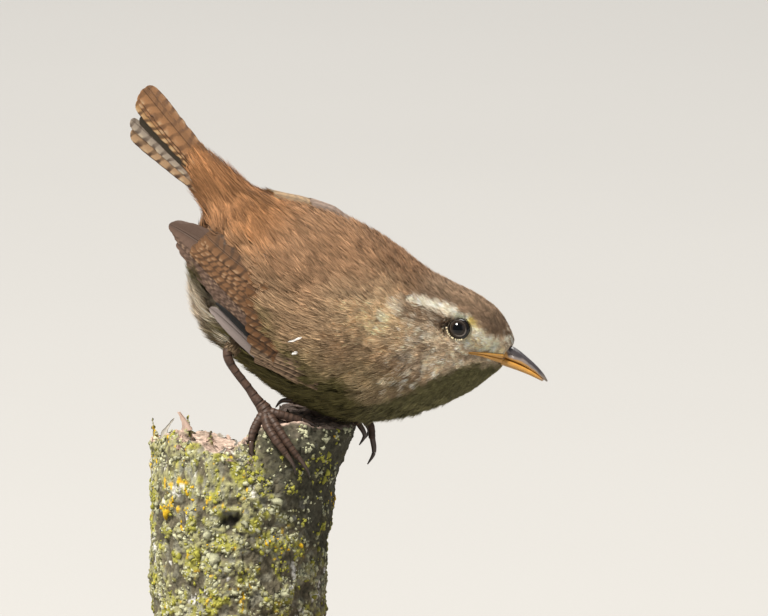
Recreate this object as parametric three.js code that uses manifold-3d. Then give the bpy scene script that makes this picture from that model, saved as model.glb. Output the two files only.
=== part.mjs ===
// A life-size Eurasian wren on a short length of broken branch, held on a small display stand.
// Millimetres, +Z up. The bird looks along +X, its left is +Y, and Y = 0 is its middle plane.
// The origin is the middle of the stand's underside.
import * as THREE from "three";
import { mergeVertices } from "three/addons/utils/BufferGeometryUtils.js";
import Module from "manifold-3d";

const wasm = await Module();
wasm.setup();

const GAP = 0.3; // left between neighbouring pieces
const RIGHT = -1;
const LEFT = 1;
const SIDES = [
  { side: RIGHT, word: "right" },
  { side: LEFT, word: "left" },
];
const degrees = THREE.MathUtils.degToRad;

// The body's own frame: s runs forward along the trunk, h runs from belly to back.
const TRUNK_PITCH = degrees(24); // the head is held low
const TRUNK_MIDDLE = new THREE.Vector3(11.7, 0, 69);
const FORWARD = new THREE.Vector3(Math.cos(TRUNK_PITCH), 0, -Math.sin(TRUNK_PITCH));
const DORSAL = new THREE.Vector3(Math.sin(TRUNK_PITCH), 0, Math.cos(TRUNK_PITCH));
const SIDEWAYS = new THREE.Vector3(0, 1, 0);

// Back, belly and half width of the plumage at stations along the trunk and head.
const TRUNK = [
  { s: -32, top: 14.4, bottom: -9.4, half: 8.4 },
  { s: -26, top: 14.3, bottom: -12.2, half: 9.9 },
  { s: -22, top: 14.6, bottom: -13.8, half: 11.0 },
  { s: -16, top: 16.0, bottom: -15.7, half: 12.8 },
  { s: -10, top: 16.6, bottom: -17.2, half: 13.7 },
  { s: -4, top: 16.5, bottom: -18.1, half: 14.2 },
  { s: 2, top: 15.8, bottom: -17.9, half: 14.3 },
  { s: 7, top: 14.8, bottom: -17.2, half: 13.4 },
  { s: 12, top: 14.3, bottom: -15.2, half: 11.4 },
  { s: 16, top: 14.3, bottom: -12.3, half: 9.6 },
  { s: 20, top: 14.1, bottom: -8.9, half: 8.3 },
  { s: 24, top: 13.2, bottom: -4.4, half: 6.4 },
  { s: 26, top: 12.1, bottom: -1.8, half: 5.0 },
  { s: 28, top: 10.4, bottom: 2.2, half: 3.2 },
  { s: 29.3, top: 9.2, bottom: 4.6, half: 2.0 },
];
const VENT_START = -22; // behind this the trunk rounds off
const VENT_END = -32;
const VENT_RISE = 2.6; // the rounded end rises towards the tail
const FACE_END = 29.3;
const NECK_START = 7;
const HEAD_START = 13;
const ROUNDNESS = 2.15; // 2 is an ellipse
const TRUNK_SIDES = 32;

// Eyes, bill and mouth, in the body's frame.
const EYE = { s: 19.4, h: 8.6, radius: 2.1, sunk: 1.25, lidRing: 1.95, lidWire: 0.34 };
const UPPER_BILL = [
  { s: 25.4, top: 7.6, bottom: 5.75, half: 1.9 },
  { s: 27.6, top: 8.2, bottom: 5.95, half: 2.0 },
  { s: 29.6, top: 8.15, bottom: 6.15, half: 1.75 },
  { s: 31.8, top: 7.65, bottom: 6.25, half: 1.35 },
  { s: 34.2, top: 6.95, bottom: 6.05, half: 0.85 },
  { s: 36.1, top: 6.15, bottom: 5.6, half: 0.45 },
  { s: 37.4, top: 5.35, bottom: 5.1, half: 0.14 },
];
const LOWER_BILL = [
  { s: 25.4, top: 5.45, bottom: 4.2, half: 1.8 },
  { s: 28.8, top: 5.8, bottom: 4.5, half: 1.8 },
  { s: 32.0, top: 5.93, bottom: 4.85, half: 1.3 },
  { s: 34.4, top: 5.72, bottom: 5.0, half: 0.8 },
  { s: 36.6, top: 5.2, bottom: 4.95, half: 0.2 },
];
const MOUTH = [
  { s: 22.9, line: 5.0 },
  { s: 25.4, line: 5.6 },
  { s: 28.6, line: 5.95 },
];
const LIP_THICK = { corner: 0.3, front: 0.55 };
const LIP_PROUD = 0.22; // the yellow mouth edge stands out of the face by this
const NOSTRIL = { s: 29.5, h: 7.05, y: 1.62, long: 1.0, high: 0.34, deep: 0.45 };

// Helpers for solids.
function solidOf(geometry) {
  const bare = new THREE.BufferGeometry();
  bare.setAttribute("position", geometry.getAttribute("position"));
  if (geometry.index) bare.setIndex(geometry.index);
  const merged = mergeVertices(bare, 1e-4);
  const triVerts = new Uint32Array(merged.index.array);
  const vertProperties = new Float32Array(merged.attributes.position.array);
  const solid = new wasm.Manifold(new wasm.Mesh({ numProp: 3, vertProperties, triVerts }));
  if (solid.volume() > 0) return solid;
  for (let i = 0; i < triVerts.length; i += 3) {
    [triVerts[i + 1], triVerts[i + 2]] = [triVerts[i + 2], triVerts[i + 1]];
  }
  return new wasm.Manifold(new wasm.Mesh({ numProp: 3, vertProperties, triVerts }));
}

// Closes up edges shorter than this, which joins and cuts leave where surfaces cross.
const SHORTEST_EDGE = 0.12;

function withoutShortEdges(points, triangles) {
  const around = points.map(() => new Set());
  const faces = triangles.map((corners, index) => {
    corners.forEach((corner) => around[corner].add(index));
    return [...corners];
  });
  const normal = (corners, from, to) => {
    const [a, b, c] = corners.map((corner) => points[corner === from ? to : corner]);
    return new THREE.Vector3().crossVectors(b.clone().sub(a), c.clone().sub(a));
  };
  const neighbours = (vertex) => new Set([...around[vertex]].flatMap((face) => faces[face]));
  const joins = (keep, drop) => {
    const shared = [...around[drop]].filter((face) => around[keep].has(face));
    const beside = neighbours(keep);
    const common = [...neighbours(drop)].filter((v) => v !== keep && v !== drop && beside.has(v));
    if (shared.length !== 2 || common.length !== 2) return false;
    const moved = [...around[drop]].filter((face) => !shared.includes(face));
    const turns = (face) => {
      const [before, after] = [normal(faces[face]), normal(faces[face], drop, keep)];
      return before.length() > 1e-5 && before.dot(after) < 0.2 * before.length() * after.length();
    };
    if (moved.some(turns)) return false;
    for (const face of shared) {
      faces[face].forEach((corner) => around[corner].delete(face));
      faces[face] = null;
    }
    for (const face of moved) {
      faces[face] = faces[face].map((corner) => (corner === drop ? keep : corner));
      around[keep].add(face);
    }
    around[drop].clear();
    return true;
  };
  for (let pass = 0; pass < 4; pass++) {
    let joined = 0;
    for (let face = 0; face < faces.length; face++) {
      for (let k = 0; k < 3 && faces[face]; k++) {
        const [a, b] = [faces[face][k], faces[face][(k + 1) % 3]];
        if (points[a].distanceTo(points[b]) < SHORTEST_EDGE && (joins(a, b) || joins(b, a))) joined++;
      }
    }
    if (!joined) break;
  }
  return faces.filter(Boolean);
}

function geometryOf(solid) {
  const { vertProperties, triVerts } = solid.getMesh();
  const points = [];
  for (let i = 0; i < vertProperties.length; i += 3) {
    points.push(new THREE.Vector3().fromArray(vertProperties, i));
  }
  const triangles = [];
  for (let i = 0; i < triVerts.length; i += 3) triangles.push([...triVerts.slice(i, i + 3)]);
  const corners = withoutShortEdges(points, triangles).flat();
  const used = [...new Set(corners)];
  const place = new Map(used.map((vertex, index) => [vertex, index]));
  const geometry = new THREE.BufferGeometry().setFromPoints(used.map((vertex) => points[vertex]));
  geometry.setIndex(corners.map((corner) => place.get(corner)));
  geometry.computeVertexNormals();
  return geometry;
}

function fuse(solids) {
  return solids.reduce((whole, solid) => whole.add(solid));
}

function cutClear(solid, neighbours) {
  return neighbours.reduce((whole, neighbour) => whole.subtract(neighbour), solid);
}

// Keeps the largest closed surface of a node and drops loose scraps.
function largest(solid) {
  return solid.decompose().reduce((best, piece) => (piece.volume() > best.volume() ? piece : best));
}

// A solid through rings of points, closed at both ends by a fan.
function loft(rings) {
  const sides = rings[0].length;
  const points = rings.flat();
  const faces = [];
  for (let i = 0; i + 1 < rings.length; i++) {
    for (let k = 0; k < sides; k++) {
      const a = i * sides + k;
      const b = i * sides + ((k + 1) % sides);
      faces.push(a, b, b + sides, a, b + sides, a + sides);
    }
  }
  for (const [ring, flip] of [[0, true], [rings.length - 1, false]]) {
    const middle = rings[ring].reduce((sum, p) => sum.add(p), new THREE.Vector3());
    const centre = points.push(middle.divideScalar(sides)) - 1;
    for (let k = 0; k < sides; k++) {
      const a = ring * sides + k;
      const b = ring * sides + ((k + 1) % sides);
      faces.push(...(flip ? [centre, b, a] : [centre, a, b]));
    }
  }
  return solidFrom(points, faces);
}

function solidFrom(points, faces) {
  const geometry = new THREE.BufferGeometry().setFromPoints(points);
  geometry.setIndex(faces);
  return solidOf(geometry);
}

// A thin solid between two grids of points, with both faces split into triangles alike.
function thickSheet(upper, lower) {
  const rows = upper.length;
  const columns = upper[0].length;
  const points = [...upper.flat(), ...lower.flat()];
  const below = rows * columns;
  const at = (i, j) => i * columns + j;
  const faces = [];
  for (let i = 0; i + 1 < rows; i++) {
    for (let j = 0; j + 1 < columns; j++) {
      const [a, b, c, d] = [at(i, j), at(i + 1, j), at(i + 1, j + 1), at(i, j + 1)];
      faces.push(a, b, c, a, c, d);
      faces.push(below + a, below + c, below + b, below + a, below + d, below + c);
    }
  }
  const rim = [];
  for (let j = 0; j + 1 < columns; j++) rim.push(at(0, j));
  for (let i = 0; i + 1 < rows; i++) rim.push(at(i, columns - 1));
  for (let j = columns - 1; j > 0; j--) rim.push(at(rows - 1, j));
  for (let i = rows - 1; i > 0; i--) rim.push(at(i, 0));
  rim.forEach((a, k) => {
    const b = rim[(k + 1) % rim.length];
    faces.push(a, b, below + b, a, below + b, below + a);
  });
  return solidFrom(points, faces);
}

// A smooth value from a table of rows, as a monotone cubic between them.
function along(rows, key, s) {
  const last = rows.length - 1;
  if (s <= rows[0].s) return rows[0][key];
  if (s >= rows[last].s) return rows[last][key];
  const i = rows.findIndex((row, k) => k < last && s < rows[k + 1].s);
  const slope = (k) => (rows[k + 1][key] - rows[k][key]) / (rows[k + 1].s - rows[k].s);
  const tangent = (k) => {
    if (k === 0) return slope(0);
    if (k === last) return slope(last - 1);
    const [before, after] = [slope(k - 1), slope(k)];
    return before * after <= 0 ? 0 : (2 * before * after) / (before + after);
  };
  const width = rows[i + 1].s - rows[i].s;
  const t = (s - rows[i].s) / width;
  return (
    rows[i][key] * (1 + 2 * t) * (1 - t) ** 2 +
    tangent(i) * width * t * (1 - t) ** 2 +
    rows[i + 1][key] * t * t * (3 - 2 * t) +
    tangent(i + 1) * width * t * t * (t - 1)
  );
}

function place(s, h, y) {
  return TRUNK_MIDDLE.clone()
    .addScaledVector(FORWARD, s)
    .addScaledVector(DORSAL, h)
    .addScaledVector(SIDEWAYS, y);
}

// A tube through points with a radius at each, smoothed by a spline.
function tube(points, radii, steps, sides) {
  const curve = new THREE.CatmullRomCurve3(points, false, "centripetal");
  const frames = curve.computeFrenetFrames(steps, false);
  const rings = [];
  for (let i = 0; i <= steps; i++) {
    const t = i / steps;
    const middle = curve.getPoint(t);
    const place = t * (radii.length - 1);
    const k = Math.min(Math.floor(place), radii.length - 2);
    const radius = THREE.MathUtils.lerp(radii[k], radii[k + 1], place - k);
    const ring = [];
    for (let j = 0; j < sides; j++) {
      const turn = (j / sides) * 2 * Math.PI;
      ring.push(
        middle
          .clone()
          .addScaledVector(frames.normals[i], radius * Math.cos(turn))
          .addScaledVector(frames.binormals[i], radius * Math.sin(turn)),
      );
    }
    rings.push(ring);
  }
  return loft(rings);
}

function ball(centre, radius, across = 16, up = 10) {
  return solidOf(new THREE.SphereGeometry(radius, across, up).translate(...centre.toArray()));
}

// The trunk, neck and head are one smooth form, parted by thin cuts.
function section(s, grow = 0) {
  const rear = Math.max(VENT_START - s, 0) / (VENT_START - VENT_END + grow);
  const round = Math.sqrt(Math.max(1 - rear ** 2, 0));
  const top = along(TRUNK, "top", s);
  const bottom = along(TRUNK, "bottom", s);
  return {
    middle: (top + bottom) / 2 + VENT_RISE * rear ** 2,
    height: ((top - bottom) / 2 + grow) * round,
    half: (along(TRUNK, "half", s) + grow) * round,
  };
}

function trunkRing(s, grow) {
  const { middle, height, half } = section(s, grow);
  const ring = [];
  for (let k = 0; k < TRUNK_SIDES; k++) {
    const turn = (k / TRUNK_SIDES) * 2 * Math.PI;
    const [c, v] = [Math.cos(turn), Math.sin(turn)];
    const reach = (Math.abs(c) ** ROUNDNESS + Math.abs(v) ** ROUNDNESS) ** (-1 / ROUNDNESS);
    ring.push(place(s, middle + height * v * reach, half * c * reach));
  }
  return ring;
}

function trunkPiece(from, to, steps, grow = 0) {
  const rings = [];
  for (let i = 0; i <= steps; i++) rings.push(trunkRing(THREE.MathUtils.lerp(from, to, i / steps), grow));
  return rings;
}

// Rings crowd towards the rounded rear end.
function ventRings(grow = 0) {
  const steps = 7;
  const reach = VENT_START - VENT_END + grow;
  const rings = [];
  for (let i = 0; i < steps; i++) {
    const turn = degrees(86 - (86 * i) / steps);
    rings.push(trunkRing(VENT_START - reach * Math.sin(turn), grow));
  }
  return rings;
}

// Half width of the plumage at a height, or 0 outside it.
function trunkReach(s, h, grow = 0) {
  const { middle, height, half } = section(s, grow);
  const level = Math.abs((h - middle) / Math.max(height, 1e-6));
  return level >= 1 ? 0 : half * (1 - level ** ROUNDNESS) ** (1 / ROUNDNESS);
}

function wholeTrunk(grow) {
  return loft([...ventRings(grow), ...trunkPiece(VENT_START, FACE_END + grow, 20, grow)]);
}

function mouthPlate(grow, up) {
  const steps = 6;
  const [first, last] = [MOUTH[0].s - grow, MOUTH[MOUTH.length - 1].s];
  const [upper, lower] = [[], []];
  for (let i = 0; i <= steps; i++) {
    const s = THREE.MathUtils.lerp(first, last, i / steps);
    const line = along(MOUTH, "line", s);
    const thick = THREE.MathUtils.lerp(LIP_THICK.corner, LIP_THICK.front, i / steps);
    const half = trunkReach(s, line) + LIP_PROUD + grow;
    const near = line + up * (GAP / 2 - grow);
    const far = line + up * (GAP / 2 + thick + grow);
    const row = (h) => [-half, 0, half].map((y) => place(s, h, y));
    upper.push(row(Math.max(near, far)));
    lower.push(row(Math.min(near, far)));
  }
  return thickSheet(upper, lower);
}

function billBlade(rows, grow, up) {
  const steps = 9;
  const sides = 10;
  const rings = [];
  const first = rows[0].s;
  const last = rows[rows.length - 1].s + grow;
  for (let i = 0; i <= steps; i++) {
    const s = THREE.MathUtils.lerp(first, last, i / steps);
    const top = along(rows, "top", s) + grow;
    const bottom = along(rows, "bottom", s) - grow;
    const half = along(rows, "half", s) + grow;
    const ring = [];
    for (let k = 0; k < sides; k++) {
      const turn = ((k + 0.5) / sides) * 2 * Math.PI;
      const [c, v] = [Math.cos(turn), Math.sin(turn)];
      // The face towards the mouth is flat, the other one arched.
      const arched = v * up > 0;
      const rise = arched ? Math.abs(v) : Math.min(Math.abs(v) * 2.2, 1);
      const mouth = up > 0 ? bottom : top;
      const crest = up > 0 ? top : bottom;
      const level = arched ? 0.35 + 0.65 * rise : 0.35 * (1 - rise);
      ring.push(place(s, mouth + (crest - mouth) * level, half * c));
    }
    rings.push(ring);
  }
  return loft(rings);
}

function upperBill(grow = 0) {
  return billBlade(UPPER_BILL, grow, 1).add(mouthPlate(grow, 1));
}

function lowerBill(grow = 0) {
  return billBlade(LOWER_BILL, grow, -1).add(mouthPlate(grow, -1));
}

function nostril(side) {
  const hole = new THREE.SphereGeometry(1, 10, 8).scale(NOSTRIL.long, NOSTRIL.deep, NOSTRIL.high);
  hole.rotateY(TRUNK_PITCH + degrees(8));
  return solidOf(hole.translate(...place(NOSTRIL.s, NOSTRIL.h, side * NOSTRIL.y).toArray()));
}

// The eye looks along the surface's normal.
function eyeFrame(side) {
  const at = (s, h) => place(s, h, side * trunkReach(s, h));
  const centre = at(EYE.s, EYE.h);
  const forward = at(EYE.s + 0.5, EYE.h).sub(at(EYE.s - 0.5, EYE.h));
  const upward = at(EYE.s, EYE.h + 0.5).sub(at(EYE.s, EYE.h - 0.5));
  const normal = forward.cross(upward).normalize();
  if (normal.y * side < 0) normal.negate();
  return { centre, normal, middle: centre.clone().addScaledVector(normal, -EYE.sunk) };
}

function lidRing(side) {
  const { centre, normal } = eyeFrame(side);
  const ring = new THREE.TorusGeometry(EYE.lidRing, EYE.lidWire, 6, 16);
  ring.applyQuaternion(new THREE.Quaternion().setFromUnitVectors(new THREE.Vector3(0, 0, 1), normal));
  return solidOf(ring.translate(...centre.toArray()));
}

// The folded wing lies close on the trunk, on a smooth envelope that runs on past the rump.
const WING_LINE = [
  { s: -40, reach: 3.4 },
  { s: -34, reach: 5.8 },
  { s: -28, reach: 8.6 },
  { s: -20, reach: 11.4 },
  { s: -10, reach: 13.4 },
  { s: 0, reach: 14.0 },
  { s: 10, reach: 12.0 },
];
const WING_LEVEL = 0; // height at which the folded wing bulges most
const WING_HIGH = 19;
const WING_CLEAR = 0.35;
const WING_BLEND = 0.8;
// The far wing is carried a little higher on the back than the near one.
const WING_RAISE = { [RIGHT]: 0, [LEFT]: 3.4 };
const VANE_THICK = 0.5;
const VANE_STEPS = 4;
const VANE_TILT = 0.22; // its lower edge stands out by this much and its upper edge tucks in

function wingReach(s, h) {
  const high = Math.min(Math.abs((h - WING_LEVEL) / WING_HIGH), 0.95);
  const envelope = along(WING_LINE, "reach", s) * Math.sqrt(1 - high ** 2);
  const body = trunkReach(s, h, WING_CLEAR);
  const share = Math.exp(-Math.abs(envelope - body) / WING_BLEND);
  return Math.max(envelope, body) + (WING_BLEND / 2) * Math.log1p(share);
}

function wingPoint(side, s, h, lift) {
  const step = 0.4;
  const at = (a, b) => place(a, b + WING_RAISE[side], side * wingReach(a, b + WING_RAISE[side]));
  const forward = at(s + step, h).sub(at(s - step, h));
  const upward = at(s, h + step).sub(at(s, h - step));
  const normal = forward.cross(upward).normalize();
  if (normal.y * side < 0) normal.negate();
  normal.setX(normal.x * 0.6).setZ(normal.z * 0.6).normalize();
  return at(s, h).addScaledVector(normal, lift);
}

// One feather of the wing: a curved vane from root to tip, given in the body's frame.
const VANE_SHAPE = [
  { s: 0, wide: 0.5 },
  { s: 0.35, wide: 0.9 },
  { s: 0.7, wide: 1 },
  { s: 0.88, wide: 0.82 },
  { s: 1, wide: 0.2 },
];

function wingVane(side, { root, tip, width, lift, bend = 0 }) {
  const run = [tip[0] - root[0], tip[1] - root[1]];
  const length = Math.hypot(...run);
  const across = [-run[1] / length, run[0] / length];
  const [upper, lower] = [[], []];
  for (let i = 0; i <= VANE_STEPS; i++) {
    const t = 1 - (1 - i / VANE_STEPS) ** 1.25;
    const sway = bend * 4 * t * (1 - t);
    const half = width * along(VANE_SHAPE, "wide", t);
    const edge = (w, level) => {
      const out = sway + w;
      const s = root[0] + run[0] * t + across[0] * out;
      return wingPoint(side, s, root[1] + run[1] * t + across[1] * out, level);
    };
    const row = (level) => [edge(-half, level - VANE_TILT), edge(half, level + VANE_TILT)];
    upper.push(row(lift + VANE_THICK));
    lower.push(row(lift));
  }
  return thickSheet(upper, lower);
}

// Rows of feathers, from the lowest one up. Each row runs evenly from first to last.
const FEATHER_ROWS = {
  primaries: {
    count: 8,
    first: { root: [-5.5, -13.0], tip: [-22.2, -8.2], width: 1.4, lift: 0.1 },
    last: { root: [-8.5, -8.0], tip: [-34.2, 2.6], width: 1.7, lift: 0.8 },
    bend: -1.1,
    longest: { at: 0.6, more: 2.6 },
  },
  secondaries: {
    count: 7,
    first: { root: [-6.5, -8.2], tip: [-30.4, -0.2], width: 1.6, lift: 0.9 },
    last: { root: [-9.0, 0.5], tip: [-28.6, 4.0], width: 1.8, lift: 1.4 },
    bend: -0.8,
  },
  tertials: {
    count: 3,
    first: { root: [-9.5, 2.2], tip: [-27.2, 4.6], width: 2.2, lift: 1.5 },
    last: { root: [-9.0, 5.2], tip: [-22.5, 6.4], width: 2.4, lift: 1.75 },
    bend: 0.5,
  },
  greaterCoverts: {
    count: 8,
    first: { root: [-3.0, -10.0], tip: [-13.2, -8.6], width: 1.3, lift: 1.2 },
    last: { root: [-6.5, 4.0], tip: [-17.2, 5.0], width: 1.6, lift: 1.85 },
    bend: -0.3,
  },
  primaryCoverts: {
    count: 3,
    first: { root: [0.0, -12.4], tip: [-11.5, -12.0], width: 1.2, lift: 0.6 },
    last: { root: [-1.0, -10.6], tip: [-12.0, -10.0], width: 1.4, lift: 1.05 },
    bend: -0.5,
  },
  medianCoverts: {
    count: 7,
    first: { root: [1.0, -9.8], tip: [-7.0, -9.4], width: 1.5, lift: 1.5 },
    last: { root: [-2.5, 5.0], tip: [-11.0, 5.4], width: 1.8, lift: 2.1 },
    bend: -0.2,
  },
};

function featherRow(side, row) {
  const vanes = [];
  for (let i = 0; i < row.count; i++) {
    const u = i / (row.count - 1);
    const mix = (a, b) => THREE.MathUtils.lerp(a, b, u);
    const pair = (key) => row.first[key].map((value, k) => mix(value, row.last[key][k]));
    const tip = pair("tip");
    if (row.longest) tip[0] -= row.longest.more * Math.exp(-(((u - row.longest.at) / 0.3) ** 2));
    vanes.push(
      wingVane(side, {
        root: pair("root"),
        tip,
        width: mix(row.first.width, row.last.width),
        lift: mix(row.first.lift, row.last.lift),
        bend: row.bend,
      }),
    );
  }
  return vanes;
}

// The arm and shoulder under the coverts: a plate that follows the envelope and thins to its rim.
const SHOULDER = { s: -1.5, h: -2.6, long: 10.5, high: 10.5, thick: 1.9, rim: 0.3 };

function shoulderPlate(side) {
  const rounds = 4;
  const sides = 18;
  const rings = [];
  const spot = (u, turn, level) => {
    const s = SHOULDER.s + SHOULDER.long * u * Math.cos(turn);
    const h = SHOULDER.h + SHOULDER.high * u * Math.sin(turn);
    return wingPoint(side, s, h, level);
  };
  const ringAt = (u, level) => {
    const ring = [];
    for (let k = 0; k < sides; k++) ring.push(spot(u, (k / sides) * 2 * Math.PI, level));
    return ring;
  };
  for (let i = 1; i <= rounds; i++) rings.push(ringAt(i / rounds, 0));
  for (let i = rounds; i >= 1; i--) {
    const u = i / rounds;
    rings.push(ringAt(u, THREE.MathUtils.lerp(SHOULDER.thick, SHOULDER.rim, u ** 3)));
  }
  return loft(rings);
}

function wing(side) {
  const vanes = Object.values(FEATHER_ROWS).flatMap((row) => featherRow(side, row));
  return largest(cutClear(fuse([shoulderPlate(side), ...vanes]), [wholeTrunk(GAP)]));
}

// The cocked tail: twelve feathers fanned on a core of coverts, rolled towards the bird's right.
const TAIL = {
  root: { s: -24.4, h: 7.6 },
  rise: degrees(153.2), // its heading in the body's frame
  roll: degrees(30),
  length: 30.3,
  feathersEachSide: 6,
  half: 2.2,
  top: 0.9, // level of the middle feathers
  step: 0.32, // each pair lies this much under the one inside it
};
const TAIL_FAN = {
  [RIGHT]: [1.5, 3.8, 6.2, 9.5, 14.8, 18.6],
  [LEFT]: [-1.5, -2.6, -3.6, -4.6, -5.4, -6.2],
};
const TAIL_SHORTER = [0, 0.2, 0.6, 1.4, 2.6, 4.6];
const TAIL_CORE = [
  { s: 0, half: 5.9, thick: 5.4 },
  { s: 5, half: 5.2, thick: 4.6 },
  { s: 9, half: 4.5, thick: 3.4 },
  { s: 13, half: 3.8, thick: 2.2 },
  { s: 17, half: 3.1, thick: 1.2 },
];

const TAIL_ROOT = place(TAIL.root.s, TAIL.root.h, 0);
const TAIL_ALONG = new THREE.Vector3()
  .addScaledVector(FORWARD, Math.cos(TAIL.rise))
  .addScaledVector(DORSAL, Math.sin(TAIL.rise));
const TAIL_UP_FLAT = new THREE.Vector3().crossVectors(SIDEWAYS, TAIL_ALONG);
const TAIL_UP = TAIL_UP_FLAT.clone()
  .multiplyScalar(Math.cos(TAIL.roll))
  .addScaledVector(SIDEWAYS, -Math.sin(TAIL.roll));
const TAIL_ACROSS = SIDEWAYS.clone()
  .negate()
  .multiplyScalar(Math.cos(TAIL.roll))
  .addScaledVector(TAIL_UP_FLAT, -Math.sin(TAIL.roll));

function tailPoint(out, across, up) {
  return TAIL_ROOT.clone()
    .addScaledVector(TAIL_ALONG, out)
    .addScaledVector(TAIL_ACROSS, across)
    .addScaledVector(TAIL_UP, up);
}

function tailVane(angle, shorter, level) {
  const start = 6;
  const length = TAIL.length - shorter;
  const turn = degrees(angle);
  const [upper, lower] = [[], []];
  for (let i = 0; i <= VANE_STEPS; i++) {
    const t = 1 - (1 - i / VANE_STEPS) ** 1.3;
    const out = THREE.MathUtils.lerp(start, length, t);
    const half = TAIL.half * along(VANE_SHAPE, "wide", t);
    const edge = (w, up) => {
      const [c, v] = [Math.cos(turn), Math.sin(turn)];
      return tailPoint(out * c - w * v, out * v + w * c, up);
    };
    upper.push([edge(-half, level + VANE_THICK / 2), edge(half, level + VANE_THICK / 2)]);
    lower.push([edge(-half, level - VANE_THICK / 2), edge(half, level - VANE_THICK / 2)]);
  }
  return thickSheet(upper, lower);
}

function tailCore() {
  const sides = 16;
  const rings = [];
  for (let out = 0; out <= 17; out += 17 / 8) {
    const half = along(TAIL_CORE, "half", out);
    const thick = along(TAIL_CORE, "thick", out);
    const ring = [];
    for (let k = 0; k < sides; k++) {
      const turn = (k / sides) * 2 * Math.PI;
      ring.push(tailPoint(out, half * Math.cos(turn), thick * Math.sin(turn) - 0.3));
    }
    rings.push(ring);
  }
  return loft(rings);
}

function tail() {
  const vanes = SIDES.flatMap(({ side }) =>
    TAIL_FAN[side].map((angle, k) => {
      const level = TAIL.top - TAIL.step * k - (side === LEFT ? TAIL.step / 3 : 0);
      return tailVane(angle, TAIL_SHORTER[k], level);
    }),
  );
  return largest(cutClear(fuse([tailCore(), ...vanes]), [wholeTrunk(GAP)]));
}

// Legs, toes and claws, as points in the part's own frame.
const point = (x, y, z) => new THREE.Vector3(x, y, z);
const path = (...triples) => triples.map((triple) => point(...triple));
const LEGS = {
  [RIGHT]: {
    knee: point(-5.6, -5.6, 67.5),
    heel: point(-9.0, -8.4, 63.0),
    ankle: point(-1.9, -8.9, 52.9),
    toes: [
      {
        name: "hind",
        joints: path([-3.0, -10.2, 51.2], [-3.8, -11.2, 49.3], [-3.9, -11.9, 47.6]),
        tip: path([-3.7, -12.5, 46.0], [-2.9, -12.3, 44.4]),
      },
      {
        name: "inner",
        joints: path([0.4, -9.1, 52.5], [2.6, -8.6, 51.9], [4.9, -8.0, 51.3]),
        tip: path([6.6, -7.6, 50.4], [7.6, -7.4, 48.8]),
      },
      {
        name: "middle",
        joints: path([0.2, -10.7, 50.9], [2.6, -11.7, 47.9], [4.9, -11.9, 44.9]),
        tip: path([6.2, -11.8, 43.2], [6.7, -11.0, 41.2]),
      },
      {
        name: "outer",
        joints: path([-1.0, -11.3, 50.7], [0.9, -12.6, 48.2], [3.0, -13.0, 45.6]),
        tip: path([4.1, -13.0, 43.9], [4.4, -12.4, 42.1]),
      },
    ],
  },
  [LEFT]: {
    knee: point(3.5, 7.0, 69.0),
    heel: point(-3.2, 7.6, 61.6),
    ankle: point(5.4, 7.2, 52.3),
    toes: [
      {
        name: "hind",
        joints: path([3.4, 7.5, 52.1], [1.2, 7.8, 52.4], [-0.8, 8.1, 52.5]),
        tip: path([-2.6, 8.3, 52.3], [-3.9, 8.4, 51.0]),
      },
      {
        name: "inner",
        joints: path([7.8, 5.6, 51.6], [10.6, 4.4, 50.9], [12.8, 4.1, 49.0]),
        tip: path([13.5, 4.2, 47.2], [12.5, 4.3, 45.2]),
      },
      {
        name: "middle",
        joints: path([8.4, 7.0, 51.6], [11.5, 7.0, 50.7], [13.9, 7.1, 48.8], [14.4, 7.2, 45.8]),
        tip: path([14.6, 7.2, 43.6], [13.4, 7.2, 41.3]),
      },
      {
        name: "outer",
        joints: path([7.8, 8.6, 51.5], [10.2, 9.7, 50.8], [12.2, 10.2, 49.2]),
        tip: path([13.0, 10.4, 47.3], [12.3, 10.4, 45.5]),
      },
    ],
  },
};
const SHANK_RADII = [1.9, 0.95, 0.74, 0.7, 1.05];
const TOE_RADII = [0.95, 0.72, 0.66, 0.5];
const CLAW_RADII = [0.46, 0.3, 0.06];

function grown(radii, grow) {
  return radii.map((radius) => radius + grow);
}

// The feathered upper leg runs into the plumage; below the heel the shank is bare.
function shank(side) {
  const { knee, heel, ankle } = LEGS[side];
  const below = heel.clone().lerp(ankle, 0.22);
  const middle = heel.clone().lerp(ankle, 0.62).add(point(-0.2, 0, -0.1));
  return tube([knee, heel, below, middle, ankle], SHANK_RADII, 12, 8);
}

function foot(side, grow = 0) {
  const { ankle, toes } = LEGS[side];
  const solids = toes.map(({ joints }) => tube([ankle, ...joints], grown(TOE_RADII, grow), 6, 6));
  return fuse([ball(ankle, 1.35 + grow, 10, 8), ...solids]);
}

function claw({ joints, tip }, grow = 0) {
  return tube([joints[joints.length - 1], ...tip], grown(CLAW_RADII, grow), 5, 6);
}

// The branch stub: an upright stem that flares to the right and is broken off unevenly at the top.
const STUB = { left: -24.6, bottom: 13.5, ceiling: 58, depth: 15.5, around: 32, levels: 9 };
// The right edge and the near face lean out and in as they rise.
const STUB_RIGHT = [
  { s: 13.5, x: 6.9 },
  { s: 25, x: 7.1 },
  { s: 33, x: 8.3 },
  { s: 39, x: 9.2 },
  { s: 44, x: 10.8 },
  { s: 49, x: 13.2 },
  { s: 54, x: 13.8 },
];
const STUB_NEAR = [
  { s: 13.5, y: 15.5 },
  { s: 38, y: 15.2 },
  { s: 46, y: 13.2 },
  { s: 54, y: 9.6 },
];
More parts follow.
